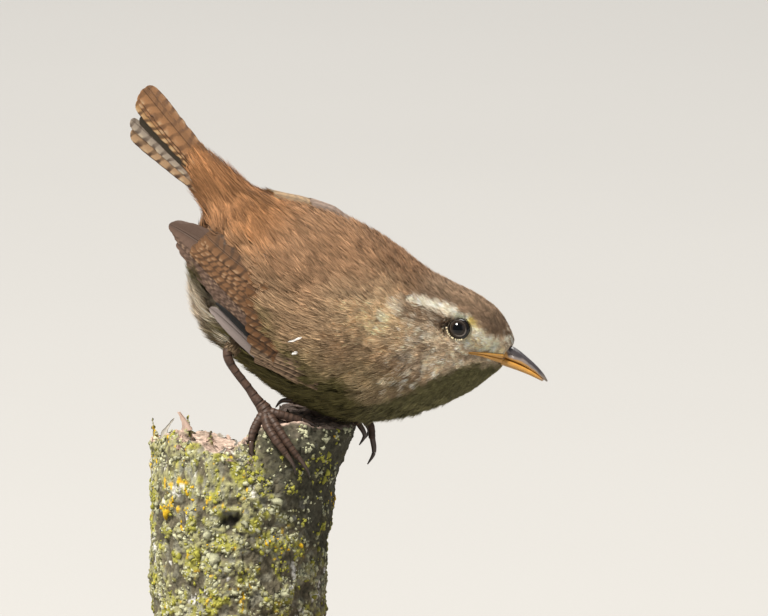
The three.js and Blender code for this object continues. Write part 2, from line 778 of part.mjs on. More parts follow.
// Height of the broken top along X: a torn edge on the left, a notch, and a ledge on the right.
const STUB_TOP = [
  { s: -26, z: 47.2 },
  { s: -18, z: 46.4 },
  { s: -9, z: 43.8 },
  { s: -6, z: 46.0 },
  { s: -3.4, z: 51.0 },
  { s: 0, z: 51.7 },
  { s: 6, z: 50.6 },
  { s: 14, z: 49.2 },
];
const HOLLOW = { x: -14, y: 1, wide: 8, deep: 3.2 }; // where the heartwood has rotted away
const BREAK_CELLS = { x: 18, y: 12 };

function bark(turn, z) {
  return (
    0.28 * Math.sin(5 * turn + 0.11 * z) +
    0.2 * Math.sin(9 * turn - 0.23 * z + 1.3) +
    0.16 * Math.sin(3 * turn + 0.6 * z)
  );
}

function stubPoint(turn, z) {
  const right = along(STUB_RIGHT, "x", z);
  const near = along(STUB_NEAR, "y", z);
  const half = (right - STUB.left) / 2;
  const depth = Math.sin(turn) < 0 ? near : STUB.depth;
  const rough = bark(turn, z);
  return point(STUB.left + half + (half + rough) * Math.cos(turn), (depth + rough) * Math.sin(turn), z);
}

function stubTop(x, y) {
  const ragged = 0.5 * Math.sin(1.7 * x + 0.6 * y) + 0.35 * Math.sin(2.9 * y - 0.8 * x + 0.7);
  const rotten = Math.exp(-(((x - HOLLOW.x) ** 2 + (y - HOLLOW.y) ** 2) / HOLLOW.wide ** 2));
  return along(STUB_TOP, "z", x) + ragged * 0.8 - HOLLOW.deep * rotten;
}

// Splinters that stand up from the broken edge.
const SPLINTERS = [
  { x: -23.9, y: -1.5, z: 45.5, tall: 6.6, wide: 0.9, lean: -0.8 },
  { x: -16.6, y: -8.5, z: 43.8, tall: 6.0, wide: 1.5, lean: 0.5 },
  { x: -12.2, y: -10.5, z: 42.6, tall: 4.6, wide: 1.7, lean: 0.7 },
  { x: -8.8, y: 9.5, z: 42.0, tall: 4.4, wide: 1.8, lean: -0.4 },
  { x: 0.8, y: -1.2, z: 50.0, tall: 3.4, wide: 1.6, lean: -0.4 },
];

function splinter({ x, y, z, tall, wide, lean }) {
  const spike = new THREE.ConeGeometry(wide, tall, 5).rotateX(degrees(90));
  spike.scale(1, 0.6, 1).translate(0, 0, tall / 2);
  const slanted = spike.getAttribute("position");
  for (let i = 0; i < slanted.count; i++) slanted.setX(i, slanted.getX(i) + lean * (slanted.getZ(i) / tall));
  return solidOf(spike.translate(x, y, z));
}

function stub() {
  const turns = Array.from({ length: STUB.around }, (_, k) => (k / STUB.around) * 2 * Math.PI);
  const rings = [];
  for (let i = 0; i <= STUB.levels; i++) {
    const z = THREE.MathUtils.lerp(STUB.bottom, STUB.ceiling, i / STUB.levels);
    rings.push(turns.map((turn) => stubPoint(turn, z)));
  }
  const [broken, clear] = [[], []];
  for (let i = 0; i <= BREAK_CELLS.x; i++) {
    const x = THREE.MathUtils.lerp(-28, 17, i / BREAK_CELLS.x);
    const columns = Array.from({ length: BREAK_CELLS.y + 1 }, (_, k) => -18 + (36 * k) / BREAK_CELLS.y);
    broken.push(columns.map((y) => point(x, y, stubTop(x, y))));
    clear.push(columns.map((y) => point(x, y, STUB.ceiling + 2)));
  }
  return fuse([loft(rings).subtract(thickSheet(clear, broken)), ...SPLINTERS.map(splinter)]);
}

// The stand: a round base and one short rod up into the stub.
const BASE = { radius: 30, high: 6, bevel: 0.8 };
const ROD = { x: -8, radius: 2.5, bottom: 2.8, top: 22 };

function rod(grow = 0) {
  const length = ROD.top - ROD.bottom + 2 * grow;
  const radius = ROD.radius + grow;
  const bar = new THREE.CylinderGeometry(radius, radius, length, 24).rotateX(degrees(90));
  return solidOf(bar.translate(ROD.x, 0, (ROD.top + ROD.bottom) / 2));
}

function base() {
  const { radius, high, bevel } = BASE;
  const outline = [
    [0, 0],
    [radius, 0],
    [radius, high - bevel],
    [radius - bevel, high],
    [0, high],
  ].map(([x, y]) => new THREE.Vector2(x, y));
  return solidOf(new THREE.LatheGeometry(outline, 40).rotateX(degrees(90)));
}

// Finishes.
const FINISHES = {
  brown: { color: 0x8a6a4a, roughness: 0.9 },
  rufous: { color: 0x8f5f3a, roughness: 0.85 },
  buff: { color: 0x9a8468, roughness: 0.9 },
  eye: { color: 0x14100e, roughness: 0.08 },
  bill: { color: 0x6a5238, roughness: 0.4 },
  yellowBill: { color: 0xc08a3c, roughness: 0.4 },
  leg: { color: 0x6e5446, roughness: 0.6 },
  claw: { color: 0x4a3a30, roughness: 0.45 },
  branch: { color: 0x84865a, roughness: 0.95 },
  wood: { color: 0x5a4634, roughness: 0.5 },
  metal: { color: 0x8c8c88, roughness: 0.35, metalness: 1 },
};

const wren = new THREE.Group();

function add(name, solid, finish) {
  const mesh = new THREE.Mesh(geometryOf(solid), new THREE.MeshStandardMaterial(FINISHES[finish]));
  mesh.name = name;
  wren.add(mesh);
}

const eyeSockets = SIDES.map(({ side }) => ball(eyeFrame(side).middle, EYE.radius + GAP));
const lids = SIDES.map(({ side }) => lidRing(side));
const headForm = loft(trunkPiece(HEAD_START + GAP / 2, FACE_END, 9));
add("torso", loft([...ventRings(), ...trunkPiece(VENT_START, NECK_START - GAP / 2, 14)]), "brown");
add("neck", loft(trunkPiece(NECK_START + GAP / 2, HEAD_START - GAP / 2, 3)), "brown");
const besideHead = [...eyeSockets, upperBill(GAP), lowerBill(GAP)];
add("head", largest(cutClear(fuse([headForm, ...lids]), besideHead)), "buff");
add("bill_upper", largest(cutClear(upperBill(), SIDES.map(({ side }) => nostril(side)))), "bill");
add("bill_lower", lowerBill(), "yellowBill");
for (const { side, word } of SIDES) {
  add(`eye_${word}`, ball(eyeFrame(side).middle, EYE.radius), "eye");
  add(`wing_${word}`, wing(side), "rufous");
  add(`leg_${word}`, largest(cutClear(shank(side), [wholeTrunk(GAP), foot(side, GAP)])), "leg");
  add(`foot_${word}`, largest(cutClear(foot(side), [wholeTrunk(GAP)])), "leg");
  for (const toe of LEGS[side].toes) {
    add(`claw_${word}_${toe.name}`, largest(cutClear(claw(toe), [foot(side, GAP)])), "claw");
  }
}
add("tail", tail(), "rufous");

const gripping = SIDES.flatMap(({ side }) => {
  return [foot(side, GAP), ...LEGS[side].toes.map((toe) => claw(toe, GAP))];
});
add("perch", largest(cutClear(stub(), [wholeTrunk(GAP), rod(GAP), ...gripping])), "branch");
add("stand_rod", rod(), "metal");
add("stand_base", cutClear(base(), [rod(GAP)]), "wood");

export default wren;
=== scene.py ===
# %% [markdown]
# # A wren on a branch stub, as a museum model
# This lesson dresses a plain, faceted model of a wren until it looks alive: plumage, barred wings and tail,
# eyes, bill, scaly legs, a lichened branch stub and a small display stand. The faceted model is loaded first
# and never moved. Every piece is made over it in the same frame, in metres, with Z up and the bird facing +X.

# %% Load the faceted model
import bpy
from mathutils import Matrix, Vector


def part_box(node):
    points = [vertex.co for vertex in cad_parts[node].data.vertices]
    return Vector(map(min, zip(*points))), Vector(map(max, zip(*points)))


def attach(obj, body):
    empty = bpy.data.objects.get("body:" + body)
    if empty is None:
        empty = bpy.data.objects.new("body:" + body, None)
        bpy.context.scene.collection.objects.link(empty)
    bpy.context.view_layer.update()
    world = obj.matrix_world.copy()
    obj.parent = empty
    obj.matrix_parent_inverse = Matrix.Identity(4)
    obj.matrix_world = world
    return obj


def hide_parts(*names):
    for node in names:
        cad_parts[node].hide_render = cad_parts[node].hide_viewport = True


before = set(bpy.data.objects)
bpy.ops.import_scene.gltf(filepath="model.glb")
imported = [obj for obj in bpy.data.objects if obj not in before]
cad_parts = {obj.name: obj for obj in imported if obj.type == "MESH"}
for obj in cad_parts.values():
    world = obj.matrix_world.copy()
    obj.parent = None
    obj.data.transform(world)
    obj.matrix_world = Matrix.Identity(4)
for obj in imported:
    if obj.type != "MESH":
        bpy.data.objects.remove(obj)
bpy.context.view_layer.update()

# %% [markdown]
# ## The tools
# Everything below is arrays of numbers until it becomes a mesh, so NumPy does most of the work. Blender's own
# vectors and its ray tree answer "where does this ray land?". Every random choice comes from one seeded source,
# so each run makes the same bird.

# %% Tools
from math import cos, pi, radians, sin

import bpy
import numpy as np
from mathutils import Vector
from mathutils.bvhtree import BVHTree

MM = 0.001
draw = np.random.default_rng(7)

# %% [markdown]
# ## The bird's own axes
# A bird leans, so "towards the tail" isn't along X. It helps to measure everything on the bird itself: s runs
# forward along the body, h from belly to back, y to the bird's left, all in millimetres from the body's middle.

# %% Body axes
LEAN = radians(24)
MIDDLE = np.array([11.7, 0, 69])
FORWARD = np.array([cos(LEAN), 0, -sin(LEAN)])
DORSAL = np.array([sin(LEAN), 0, cos(LEAN)])
LEFTWARD = np.array([0.0, 1, 0])
RIGHT, LEFT = -1, 1
SIDE_NAMES = {RIGHT: "right", LEFT: "left"}


def stack(*columns):
    return np.stack(np.broadcast_arrays(*columns), axis=-1).astype(float)


def on_bird(s, h, y):
    """Places in the model's millimetres from places on the bird."""
    s, h, y = (np.asarray(value, float)[..., None] for value in (s, h, y))
    return MIDDLE + s * FORWARD + h * DORSAL + y * LEFTWARD


def bird_axes(points):
    """s, h and y of places given in the model's millimetres."""
    away = np.asarray(points) - MIDDLE
    return away @ FORWARD, away @ DORSAL, away[..., 1]


# %% [markdown]
# ## Small helpers
# Soft steps, tables and blends are needed all over the bird, so they get short names.


# %% Helpers
def unit(vectors):
    return vectors / np.maximum(np.linalg.norm(vectors, axis=-1, keepdims=True), 1e-9)


def soft_step(value, low, high):
    """0 below low, 1 above high, and a smooth rise between."""
    t = np.clip((value - low) / (high - low), 0, 1)
    return t * t * (3 - 2 * t)


def table(value, rows):
    """Reads a two-column table, with straight lines between its rows."""
    rows = sorted(rows)
    return np.interp(value, [r[0] for r in rows], [r[1] for r in rows])


def soft_drop(value, low, high):
    """1 below low, 0 above high, and a smooth fall between."""
    return 1 - soft_step(value, low, high)


def blend(first, last, share):
    return np.array(first) * (1 - share) + np.array(last) * share


def part_way(pair, share):
    return pair[0] + (pair[1] - pair[0]) * share


def laid(colour, tone, share):
    """A colour with a share of another tone laid over it."""
    return colour + (np.array(tone) - colour) * np.clip(share, 0, 1)[..., None]


def between(grid, i, j):
    """Reads a grid between its points, at row i and column j."""
    i, j = np.clip(i, 0, grid.shape[0] - 1.001), np.clip(j, 0, grid.shape[1] - 1.001)
    a, b, i, j = i % 1, j % 1, i.astype(int), j.astype(int)
    upper = grid[i, j] * (1 - b) + grid[i, j + 1] * b
    return upper * (1 - a) + (grid[i + 1, j] * (1 - b) + grid[i + 1, j + 1] * b) * a


# %% [markdown]
# ## Soft variation
# Nothing on a bird is one even tone. This noise gives smooth, seeded lumps of any size: random values on a coarse
# lattice, with a smooth blend between them. It works on any place in space, so skin, feathers and bark agree.

# %% Soft noise
NOISE_CELLS, NOISE_SWING, NOISE_STRETCH, NOISE_SHIFT = 24, 1.7, 0.62, 512.37


def ripple(points, size, seed):
    """Smooth, seeded variation, mostly from -1 to 1, whose lumps are about `size` millimetres across."""
    dice = np.random.default_rng(seed).uniform(-NOISE_SWING, NOISE_SWING, (NOISE_CELLS,) * 3)
    place = np.asarray(points) / (NOISE_STRETCH * size) + NOISE_SHIFT
    cell = np.floor(place).astype(int)
    x, y, z = np.moveaxis(soft_step(place - cell, 0, 1), -1, 0)
    i, j, k = np.moveaxis(cell % NOISE_CELLS, -1, 0)
    i2, j2, k2 = (i + 1) % NOISE_CELLS, (j + 1) % NOISE_CELLS, (k + 1) % NOISE_CELLS

    def level(k):
        near = dice[i, j, k] * (1 - x) + dice[i2, j, k] * x
        far = dice[i, j2, k] * (1 - x) + dice[i2, j2, k] * x
        return near * (1 - y) + far * y

    return level(k) * (1 - z) + level(k2) * z


# %% [markdown]
# ## The camera
# The photograph was taken with a long lens, from a little above the bird and a little to its front. So the camera
# stands three metres off, where shapes hardly shrink with distance, and its lens is chosen so that the picture's
# width spans the right number of millimetres at the bird.

# %% Camera
AZIMUTH, ELEVATION = radians(12), radians(8)
AIM = np.array([18.0, 0, 71])
PICTURE_WIDTH = 138.24
CAMERA_AWAY = 3000.0
SENSOR = 36.0

to_camera = np.array([sin(AZIMUTH) * cos(ELEVATION), -cos(AZIMUTH) * cos(ELEVATION), sin(ELEVATION)])
lens_data = bpy.data.cameras.new("camera")
lens_data.sensor_width = SENSOR
lens_data.lens = SENSOR * CAMERA_AWAY / PICTURE_WIDTH
lens_data.clip_start, lens_data.clip_end = 0.1, 60
camera = bpy.data.objects.new("camera", lens_data)
camera.location = (AIM + to_camera * CAMERA_AWAY) * MM
camera.rotation_euler = Vector(-to_camera).to_track_quat("-Z", "Y").to_euler()
bpy.context.scene.collection.objects.link(camera)
bpy.context.scene.camera = camera
print("lens, mm:", round(lens_data.lens, 1))

# %% [markdown]
# ## The studio
# A pale floor and broad lamps keep the attention on the plumage. A bare sun lamp would cast hard shadows, so
# large discs are used. The key lamp stands high on the left, so the back is bright and the throat and belly fall
# into shade. The floor is a wide flat disc, so no wall hides the model from any side.

# %% Floor, lamps and sky light
SKY_TONE, SKY_LIGHT = (0.86, 0.9, 0.96, 1), 0.24
LAMPS = {  # turned from the camera's side, height, distance in metres, size in metres, watts, colour
    "key": (-46, 58, 3.0, 0.8, 206, (1.0, 0.95, 0.87)),
    "fill": (50, 24, 3.6, 2.8, 10, (0.93, 0.96, 1.0)),
    "rim": (165, 45, 3.2, 1.6, 52, (1.0, 0.97, 0.93)),
}
studio = bpy.context.scene
studio.view_settings.view_transform = "Standard"

for name, (turn, height, away, size, power, tone) in LAMPS.items():
    lamp_data = bpy.data.lights.new(name, "AREA")
    lamp_data.shape, lamp_data.size, lamp_data.energy, lamp_data.color = "DISK", size, power, tone
    lamp = bpy.data.objects.new(name, lamp_data)
    around, up = AZIMUTH + radians(turn), radians(height)
    toward = Vector((sin(around) * cos(up), -cos(around) * cos(up), sin(up)))
    lamp.location = Vector(AIM * MM) + toward * away
    lamp.rotation_euler = (-toward).to_track_quat("-Z", "Y").to_euler()
    studio.collection.objects.link(lamp)

sky = bpy.data.worlds.new("studio_sky")
studio.world = sky
sky.use_nodes = True
glow = sky.node_tree.nodes["Background"].inputs
glow["Color"].default_value, glow["Strength"].default_value = SKY_TONE, SKY_LIGHT
print("lamps:", ", ".join(LAMPS))

# %% [markdown]
# ## Mixing finishes
# A finish is a small network of nodes. They could be joined by hand in the shader editor. This helper adds one
# node at a time and joins it to what it reads, so that each finish below reads like a recipe and is the same in
# every run. Numbers that are the same all over a surface are set on the shader itself.


# %% The finish helper
class Finish:
    def __init__(self, name, **shader):
        self.material = bpy.data.materials.new(name)
        self.material.use_nodes = True
        self.tree = self.material.node_tree
        self.shader = self.tree.nodes["Principled BSDF"]
        for socket, value in shader.items():
            self.shader.inputs[socket.replace("_", " ")].default_value = value

    def add(self, kind, inputs=(), out=0, **settings):
        node = self.tree.nodes.new("ShaderNode" + kind)
        for setting, value in settings.items():
            setattr(node, setting, value)
        for socket, value in dict(inputs).items():
            if isinstance(value, bpy.types.NodeSocket):
                self.tree.links.new(value, node.inputs[socket])
            else:
                node.inputs[socket].default_value = value
        return node.outputs[out]

    def paint(self, name, out="Color"):
        """Reads a colour that was painted on the mesh's points."""
        return self.add("Attribute", out=out, attribute_name=name)

    def place(self):
        return self.add("TexCoord", out="Object")

    def noise(self, scale, where=None, detail=3.0):
        where = where or self.place()
        return self.add("TexNoise", {"Vector": where, "Scale": scale, "Detail": detail}, out="Fac")

    def stretched(self, scale, stretch, turn=(0, 0, 0), detail=3.0):
        """Noise drawn out along one direction, as grain and fibres are."""
        where = self.add("Mapping", {"Vector": self.place(), "Rotation": turn, "Scale": stretch})
        return self.noise(scale, where, detail)

    def sum(self, operation, first, second=0.0, third=0.0):
        return self.add("Math", {0: first, 1: second, 2: third}, operation=operation)

    def times(self, first, *others):
        for other in others:
            first = self.sum("MULTIPLY", first, other)
        return first

    def spread(self, value, low, high, start=0.0, end=1.0):
        return self.add("MapRange", {0: value, 1: low, 2: high, 3: start, 4: end}, interpolation_type="SMOOTHSTEP")

    def mix(self, share, first, second, blend="MIX"):
        inputs = {0: share, 6: first, 7: second}
        return self.add("Mix", inputs, out=2, data_type="RGBA", blend_type=blend)

    def colour(self, value):
        self.tree.links.new(value, self.shader.inputs["Base Color"])
        return self

    def relief(self, height, depth, strength=1.0):
        bump = self.add("Bump", {"Height": height, "Distance": depth, "Strength": strength})
        self.tree.links.new(bump, self.shader.inputs["Normal"])
        return self

    def grained(self, layer, grain, share, depth, strength):
        """A painted colour broken up by a grain that also stands out a little."""
        return self.colour(self.mix(share, self.paint(layer), grain, "OVERLAY")).relief(grain, depth, strength)


floor_finish = Finish("studio_floor", Roughness=0.9)
floor_finish.colour(floor_finish.mix(floor_finish.noise(3.0), (0.345, 0.342, 0.335, 1), (0.37, 0.367, 0.36, 1)))
floor_finish.relief(floor_finish.noise(900.0), 0.0002, 0.2)

# %% [markdown]
# ## Turning arrays into pieces
# Feathers by the thousand are quickest to make as arrays of points and faces. This helper turns such arrays
# into a mesh, paints its points, and gives it a map on which its colours can be stored for other programs.


# %% The piece helper
def piece(name, points, faces, finish, slot=None, paint=None, maps=None, replaces=()):
    """points in millimetres; faces of one size; paint {name: colour per point}; maps {name: place per point}."""
    faces = np.asarray(faces, np.int32)
    mesh = bpy.data.meshes.new(name)
    mesh.vertices.add(len(points))
    mesh.vertices.foreach_set("co", (np.asarray(points) * MM).astype(np.float32).ravel())
    mesh.loops.add(faces.size)
    mesh.loops.foreach_set("vertex_index", faces.ravel())
    mesh.polygons.add(len(faces))
    mesh.polygons.foreach_set("loop_start", np.arange(len(faces), dtype=np.int32) * faces.shape[1])
    mesh.polygons.foreach_set("use_smooth", np.full(len(faces), True))
    for layer, values in (paint or {}).items():
        values = np.concatenate([values, np.ones((len(values), 4 - values.shape[1]))], axis=1)
        attribute = mesh.attributes.new(layer, "FLOAT_COLOR", "POINT")
        attribute.data.foreach_set("color", values.astype(np.float32).ravel())
    for layer, values in (maps or {}).items():
        chart = mesh.uv_layers.new(name=layer)
        chart.data.foreach_set("uv", values[faces.ravel()].astype(np.float32).ravel())
    mesh.update(calc_edges=True)
    mesh.validate()
    mesh.materials.append(finish.material)
    thing = bpy.data.objects.new(name, mesh)
    studio.collection.objects.link(thing)
    if slot is None:
        return thing
    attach(thing, "root")
    if replaces:
        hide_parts(*replaces)
    triangles = len(faces) * (faces.shape[1] - 2)
    print(f"{name}: {triangles} triangles")
    return thing


def sheet_faces(rows, columns, wrap=False):
    """Quads of a grid of points, row by row; wrap joins the last column to the first."""
    grid = np.arange(rows * columns).reshape(rows, columns)
    if wrap:
        grid = np.concatenate([grid, grid[:, :1]], axis=1)
    return stack(grid[:-1, :-1], grid[:-1, 1:], grid[1:, 1:], grid[1:, :-1]).reshape(-1, 4).astype(np.int32)


def turned(profile, sides, centre_x=0.0):
    """Rings of points round an upright line, one ring for each (radius, height) of a profile."""
    turn = np.linspace(0, 2 * pi, sides, endpoint=False)
    return np.stack([stack(centre_x + r * np.cos(turn), r * np.sin(turn), z) for r, z in profile])


FLOOR_PROFILE, FLOOR_SIDES = [(r, 0) for r in (0.5, 100, 400, 2000, 12000)], 96
floor = turned(FLOOR_PROFILE, FLOOR_SIDES)
piece("studio_floor", floor.reshape(-1, 3), sheet_faces(*floor.shape[:2], wrap=True), floor_finish)

# %% [markdown]
# ## One form under the plumage
# On a real bird the head, neck and body are one skin. The faceted model has them as separate blocks, so their
# shared outer form is felt from outside: rays are sent in from all round towards the body's middle, and where
# they land is kept in a grid of directions. The grid's two ends lie at the bill and at the tail, so its lines
# run just the way the feathers lie. Smoothing the grid removes the facets and the gaps between the blocks.

# %% Tail axes
TAIL_ROOT = on_bird(-24.4, 7.6, 0)
TAIL_RISE, TAIL_ROLL = radians(153.2), radians(30)
TAIL_ALONG = cos(TAIL_RISE) * FORWARD + sin(TAIL_RISE) * DORSAL
TAIL_UP_FLAT = np.cross(LEFTWARD, TAIL_ALONG)
TAIL_UP = cos(TAIL_ROLL) * TAIL_UP_FLAT - sin(TAIL_ROLL) * LEFTWARD
TAIL_ACROSS = -cos(TAIL_ROLL) * LEFTWARD - sin(TAIL_ROLL) * TAIL_UP_FLAT
TAIL_CORE = [  # out, half width, half depth
    (0, 5.9, 5.4), (5, 5.2, 4.6), (9, 4.5, 3.4), (13, 3.8, 2.2), (17, 3.1, 1.2),
]
CORE_SIDES, CORE_LOWER = 24, -0.3


def on_tail(out, across, up):
    out, across, up = (np.asarray(value, float)[..., None] for value in (out, across, up))
    return TAIL_ROOT + out * TAIL_ALONG + across * TAIL_ACROSS + up * TAIL_UP


# %% Feel the form
def node_mesh(*names):
    """Points in millimetres and faces of the named blocks of the faceted model."""
    points, faces, start = [], [], 0
    for name in names:
        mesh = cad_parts[name].data
        points += [v.co / MM for v in mesh.vertices]
        faces += [[start + i for i in face.vertices] for face in mesh.polygons]
        start = len(points)
    return points, faces


POLE_TILT_FRONT, POLE_TILT_BACK = radians(14), radians(22.4)
FORM_MIDDLE = on_bird(0, -1, 0)
FORM_ROWS, FORM_COLUMNS = 400, 320
RAY_START, LEAST_REACH = 90, 10


def form_directions(u, v):
    """Directions from the form's middle: u from 0 at the bill to 1 at the tail, v once round, 0 at the back."""
    polar, around = pi * u, 2 * pi * v
    tilt = POLE_TILT_FRONT * (1 - u) - POLE_TILT_BACK * u
    along, up = np.cos(polar), np.sin(polar) * np.cos(around)
    side = np.sin(polar) * np.sin(around)
    along, up = along * np.cos(tilt) - up * np.sin(tilt), along * np.sin(tilt) + up * np.cos(tilt)
    return along[..., None] * FORWARD + up[..., None] * DORSAL + side[..., None] * LEFTWARD


core_out, core_half, core_thick = np.array(TAIL_CORE).T
core_turn = np.linspace(0, 2 * pi, CORE_SIDES, endpoint=False)
core = on_tail(
    core_out[:, None] + 0 * core_turn,
    core_half[:, None] * np.cos(core_turn),
    core_thick[:, None] * np.sin(core_turn) + CORE_LOWER,
).reshape(-1, 3)
core_points = [Vector(p) for p in core] + [Vector(on_tail(core_out[-1], 0, CORE_LOWER))]
core_faces = sheet_faces(len(TAIL_CORE), CORE_SIDES, wrap=True).tolist()
last = len(core) - CORE_SIDES
core_faces += [[last + i, last + (i + 1) % CORE_SIDES, len(core)] for i in range(CORE_SIDES)]
flesh_points, flesh_faces = node_mesh("head", "neck", "torso")
core_faces = [[len(flesh_points) + i for i in face] for face in core_faces]
flesh = BVHTree.FromPolygons(flesh_points + core_points, flesh_faces + core_faces)

grid_u, grid_v = np.meshgrid(
    (np.arange(FORM_ROWS) + 0.5) / FORM_ROWS, np.arange(FORM_COLUMNS) / FORM_COLUMNS, indexing="ij"
)
rays = form_directions(grid_u, grid_v)
middle = Vector(FORM_MIDDLE)
reach = np.zeros(grid_u.shape)
for index in np.ndindex(grid_u.shape):
    ray = Vector(rays[index])
    hit = flesh.ray_cast(middle + ray * RAY_START, -ray)[0]
    reach[index] = (hit - middle).length if hit else LEAST_REACH
print("form reaches from", reach.min().round(1), "to", reach.max().round(1), "mm")


# %% [markdown]
# ## Healing and smoothing
# The grid still holds the narrow slots between the blocks, the eye sockets and the gape. A plain blur would only
# smear them. So slots are first raised to the level beside them, sockets and gape are filled from their rims, and
# only then is everything blurred.

# %% Smooth the form
SLOT_ROWS, SLOT_SLOPE = 4, 0.08
FILL_ROUNDS, CALM_ROUNDS = 250, 7
SOCKET, GAPE_HALF, GAPE_FROM, GAPE_TO = 3.0, 1.6, 20.5, 28.3


def blurred(grid, rounds):
    for _ in range(rounds):
        grid = (np.roll(grid, 1, 1) + 2 * grid + np.roll(grid, -1, 1)) / 4
        padded = np.concatenate([grid[:1], grid, grid[-1:]])
        grid = (padded[:-2] + 2 * padded[1:-1] + padded[2:]) / 4
    return grid


def healed(grid):
    """Fills the narrow slots between blocks with the larger reach of their surroundings."""
    wide = grid.copy()
    for shift in range(-SLOT_ROWS, SLOT_ROWS + 1):
        wide = np.maximum(wide, np.roll(grid, shift, 0) - SLOT_SLOPE * abs(shift))
    narrow = wide.copy()
    for shift in range(-SLOT_ROWS, SLOT_ROWS + 1):
        narrow = np.minimum(narrow, np.roll(wide, shift, 0) + SLOT_SLOPE * abs(shift))
    return np.maximum(narrow, grid)


EYE = {"s": 19.75, "h": 8.65, "radius": 2.1, "ahead": 0.7, "lower": -0.06}
EYE_BEHIND = 0.45
OPENING_LONG, OPENING_HIGH, OPENING_TILT = 1.46, 1.2, radians(-20)
MOUTH_LINE = [(22.9, 5.0), (25.4, 5.6), (28.6, 5.95), (32.0, 6.1), (34.4, 5.85), (36.6, 5.35), (37.4, 5.1)]
smooth_reach = healed(reach)
form_points = FORM_MIDDLE + rays * smooth_reach[..., None]
grid_s, grid_h, grid_y = bird_axes(form_points)
in_socket = np.hypot(grid_s - EYE["s"], grid_h - EYE["h"]) < SOCKET
in_gape = (np.abs(grid_h - table(grid_s, MOUTH_LINE)) < GAPE_HALF) & (grid_s > GAPE_FROM) & (grid_s < GAPE_TO)
filled = smooth_reach.copy()
for _ in range(FILL_ROUNDS):
    filled = np.where(in_socket | in_gape, blurred(filled, 1), smooth_reach)
smooth_reach = blurred(filled, CALM_ROUNDS)
form_points = FORM_MIDDLE + rays * smooth_reach[..., None]
grid_s, grid_h, grid_y = bird_axes(form_points)
print("form smoothed; filled places:", int((in_socket | in_gape).sum()))

# %% [markdown]
# ## The folded wing's envelope
# The folded wing lies close along the body on a smooth envelope: its own gentle curve, or just outside the trunk
# where the trunk is wider. It is measured once, from the side, on a grid of places along and up the bird. The
# left wing is carried a little higher than the right.

# %% Wing envelope
WING_RAISE = {RIGHT: 0.0, LEFT: 3.4}
WING_LINE = [(-46, 1.5), (-40, 3.4), (-34, 5.8), (-28, 8.6), (-20, 11.4), (-10, 13.4), (0, 14.0), (10, 12.0)]
WING_HIGH = 19.0
REACH_STEP = 0.5
reach_s, reach_h = np.arange(-46, 16, REACH_STEP), np.arange(-22, 24, REACH_STEP)


def form_tree(points):
    """Every other line of the form as a closed sheet that rays can be sent at."""
    sheet = points[::2, ::2]
    corners = [Vector(p) for p in sheet.reshape(-1, 3)]
    return BVHTree.FromPolygons(corners, sheet_faces(*sheet.shape[:2], wrap=True).tolist())


trunk_tree = form_tree(form_points)
reach_grid = {}
for side in (RIGHT, LEFT):
    found = np.zeros((len(reach_s), len(reach_h)))
    for i, s in enumerate(reach_s):
        for j, h in enumerate(reach_h):
            hit = trunk_tree.ray_cast(Vector(on_bird(s, h, side * 40.0)), Vector((0, -side, 0)))[0]
            trunk = abs(hit.y) + 0.35 if hit else 0.0
            curve = table(s, WING_LINE) * (1 - min(abs(h / WING_HIGH), 0.95) ** 2) ** 0.5
            found[i, j] = max(curve, trunk) + 0.4 * np.log1p(np.exp(-abs(curve - trunk) / 0.8))
    for _ in range(3):
        for axis in (0, 1):
            found = (2 * found + np.roll(found, 1, axis) + np.roll(found, -1, axis)) / 4
    reach_grid[side] = found
    print("widest reach of the wing's envelope:", found.max().round(1), "mm")


def wing_reach(side, s, h):
    return between(reach_grid[side], (s - reach_s[0]) / REACH_STEP, (h - reach_h[0]) / REACH_STEP)


def on_wing(side, s, h, lift):
    """A place on the wing's envelope, raised by lift, and the direction out of it."""
    h = h + WING_RAISE[side]

    def at(a, b):
        return on_bird(a, b, side * wing_reach(side, a, b))

    normal = unit(np.cross(at(s + 0.5, h) - at(s - 0.5, h), at(s, h + 0.5) - at(s, h - 0.5)))
    normal = np.where((normal[..., 1] * side)[..., None] < 0, -normal, normal)
    normal = unit(normal * np.array([0.6, 1, 0.6]))
    return at(s, h) + normal * np.asarray(lift)[..., None], normal


# %% [markdown]
# ## Where the wing shows
# Behind the mantle's edge the folded wing shows bare, and no body feathers grow there. The edge is a short
# line of places on the bird's side. In front of it the plumage of the mantle and flank lies over the wing, so
# the form swells there until it covers the wing's layers. The skin keeps below the bare part of the wing.

# %% Wing window
WING_WINDOW = [
    (-38, 4.5), (-30, 5.0), (-24, 5.6), (-18.6, 4.6), (-14.6, 2.2), (-11.2, -1.4), (-8.6, -4.6), (-4.6, -7.6),
    (-0.6, -9.0), (0.8, -10.6), (0.2, -12.2), (-5, -13.0), (-12, -12.6), (-18.5, -9.8), (-22.3, -7.8),
    (-23.0, -4.9), (-28.5, -2.0), (-33, 0.4),
]
COVER_TOP = [(-30, 5.5), (-18, 6.0), (-8, 6.5), (4, 4)]
COVER_LOW = [(-34, 1), (-22, -6), (-12, -10.5), (-4, -12.5), (6, -11)]
WING_TOP = 2.1


# %% Lines and outlines on the bird's side
def near_path(s, h, path):
    """Distance to a line of places on the bird's side."""
    best = np.full(np.shape(s), 1e9)
    for (s0, h0), (s1, h1) in zip(path[:-1], path[1:]):
        t = np.clip(((s - s0) * (s1 - s0) + (h - h0) * (h1 - h0)) / ((s1 - s0) ** 2 + (h1 - h0) ** 2), 0, 1)
        best = np.minimum(best, np.hypot(s - s0 - t * (s1 - s0), h - h0 - t * (h1 - h0)))
    return best


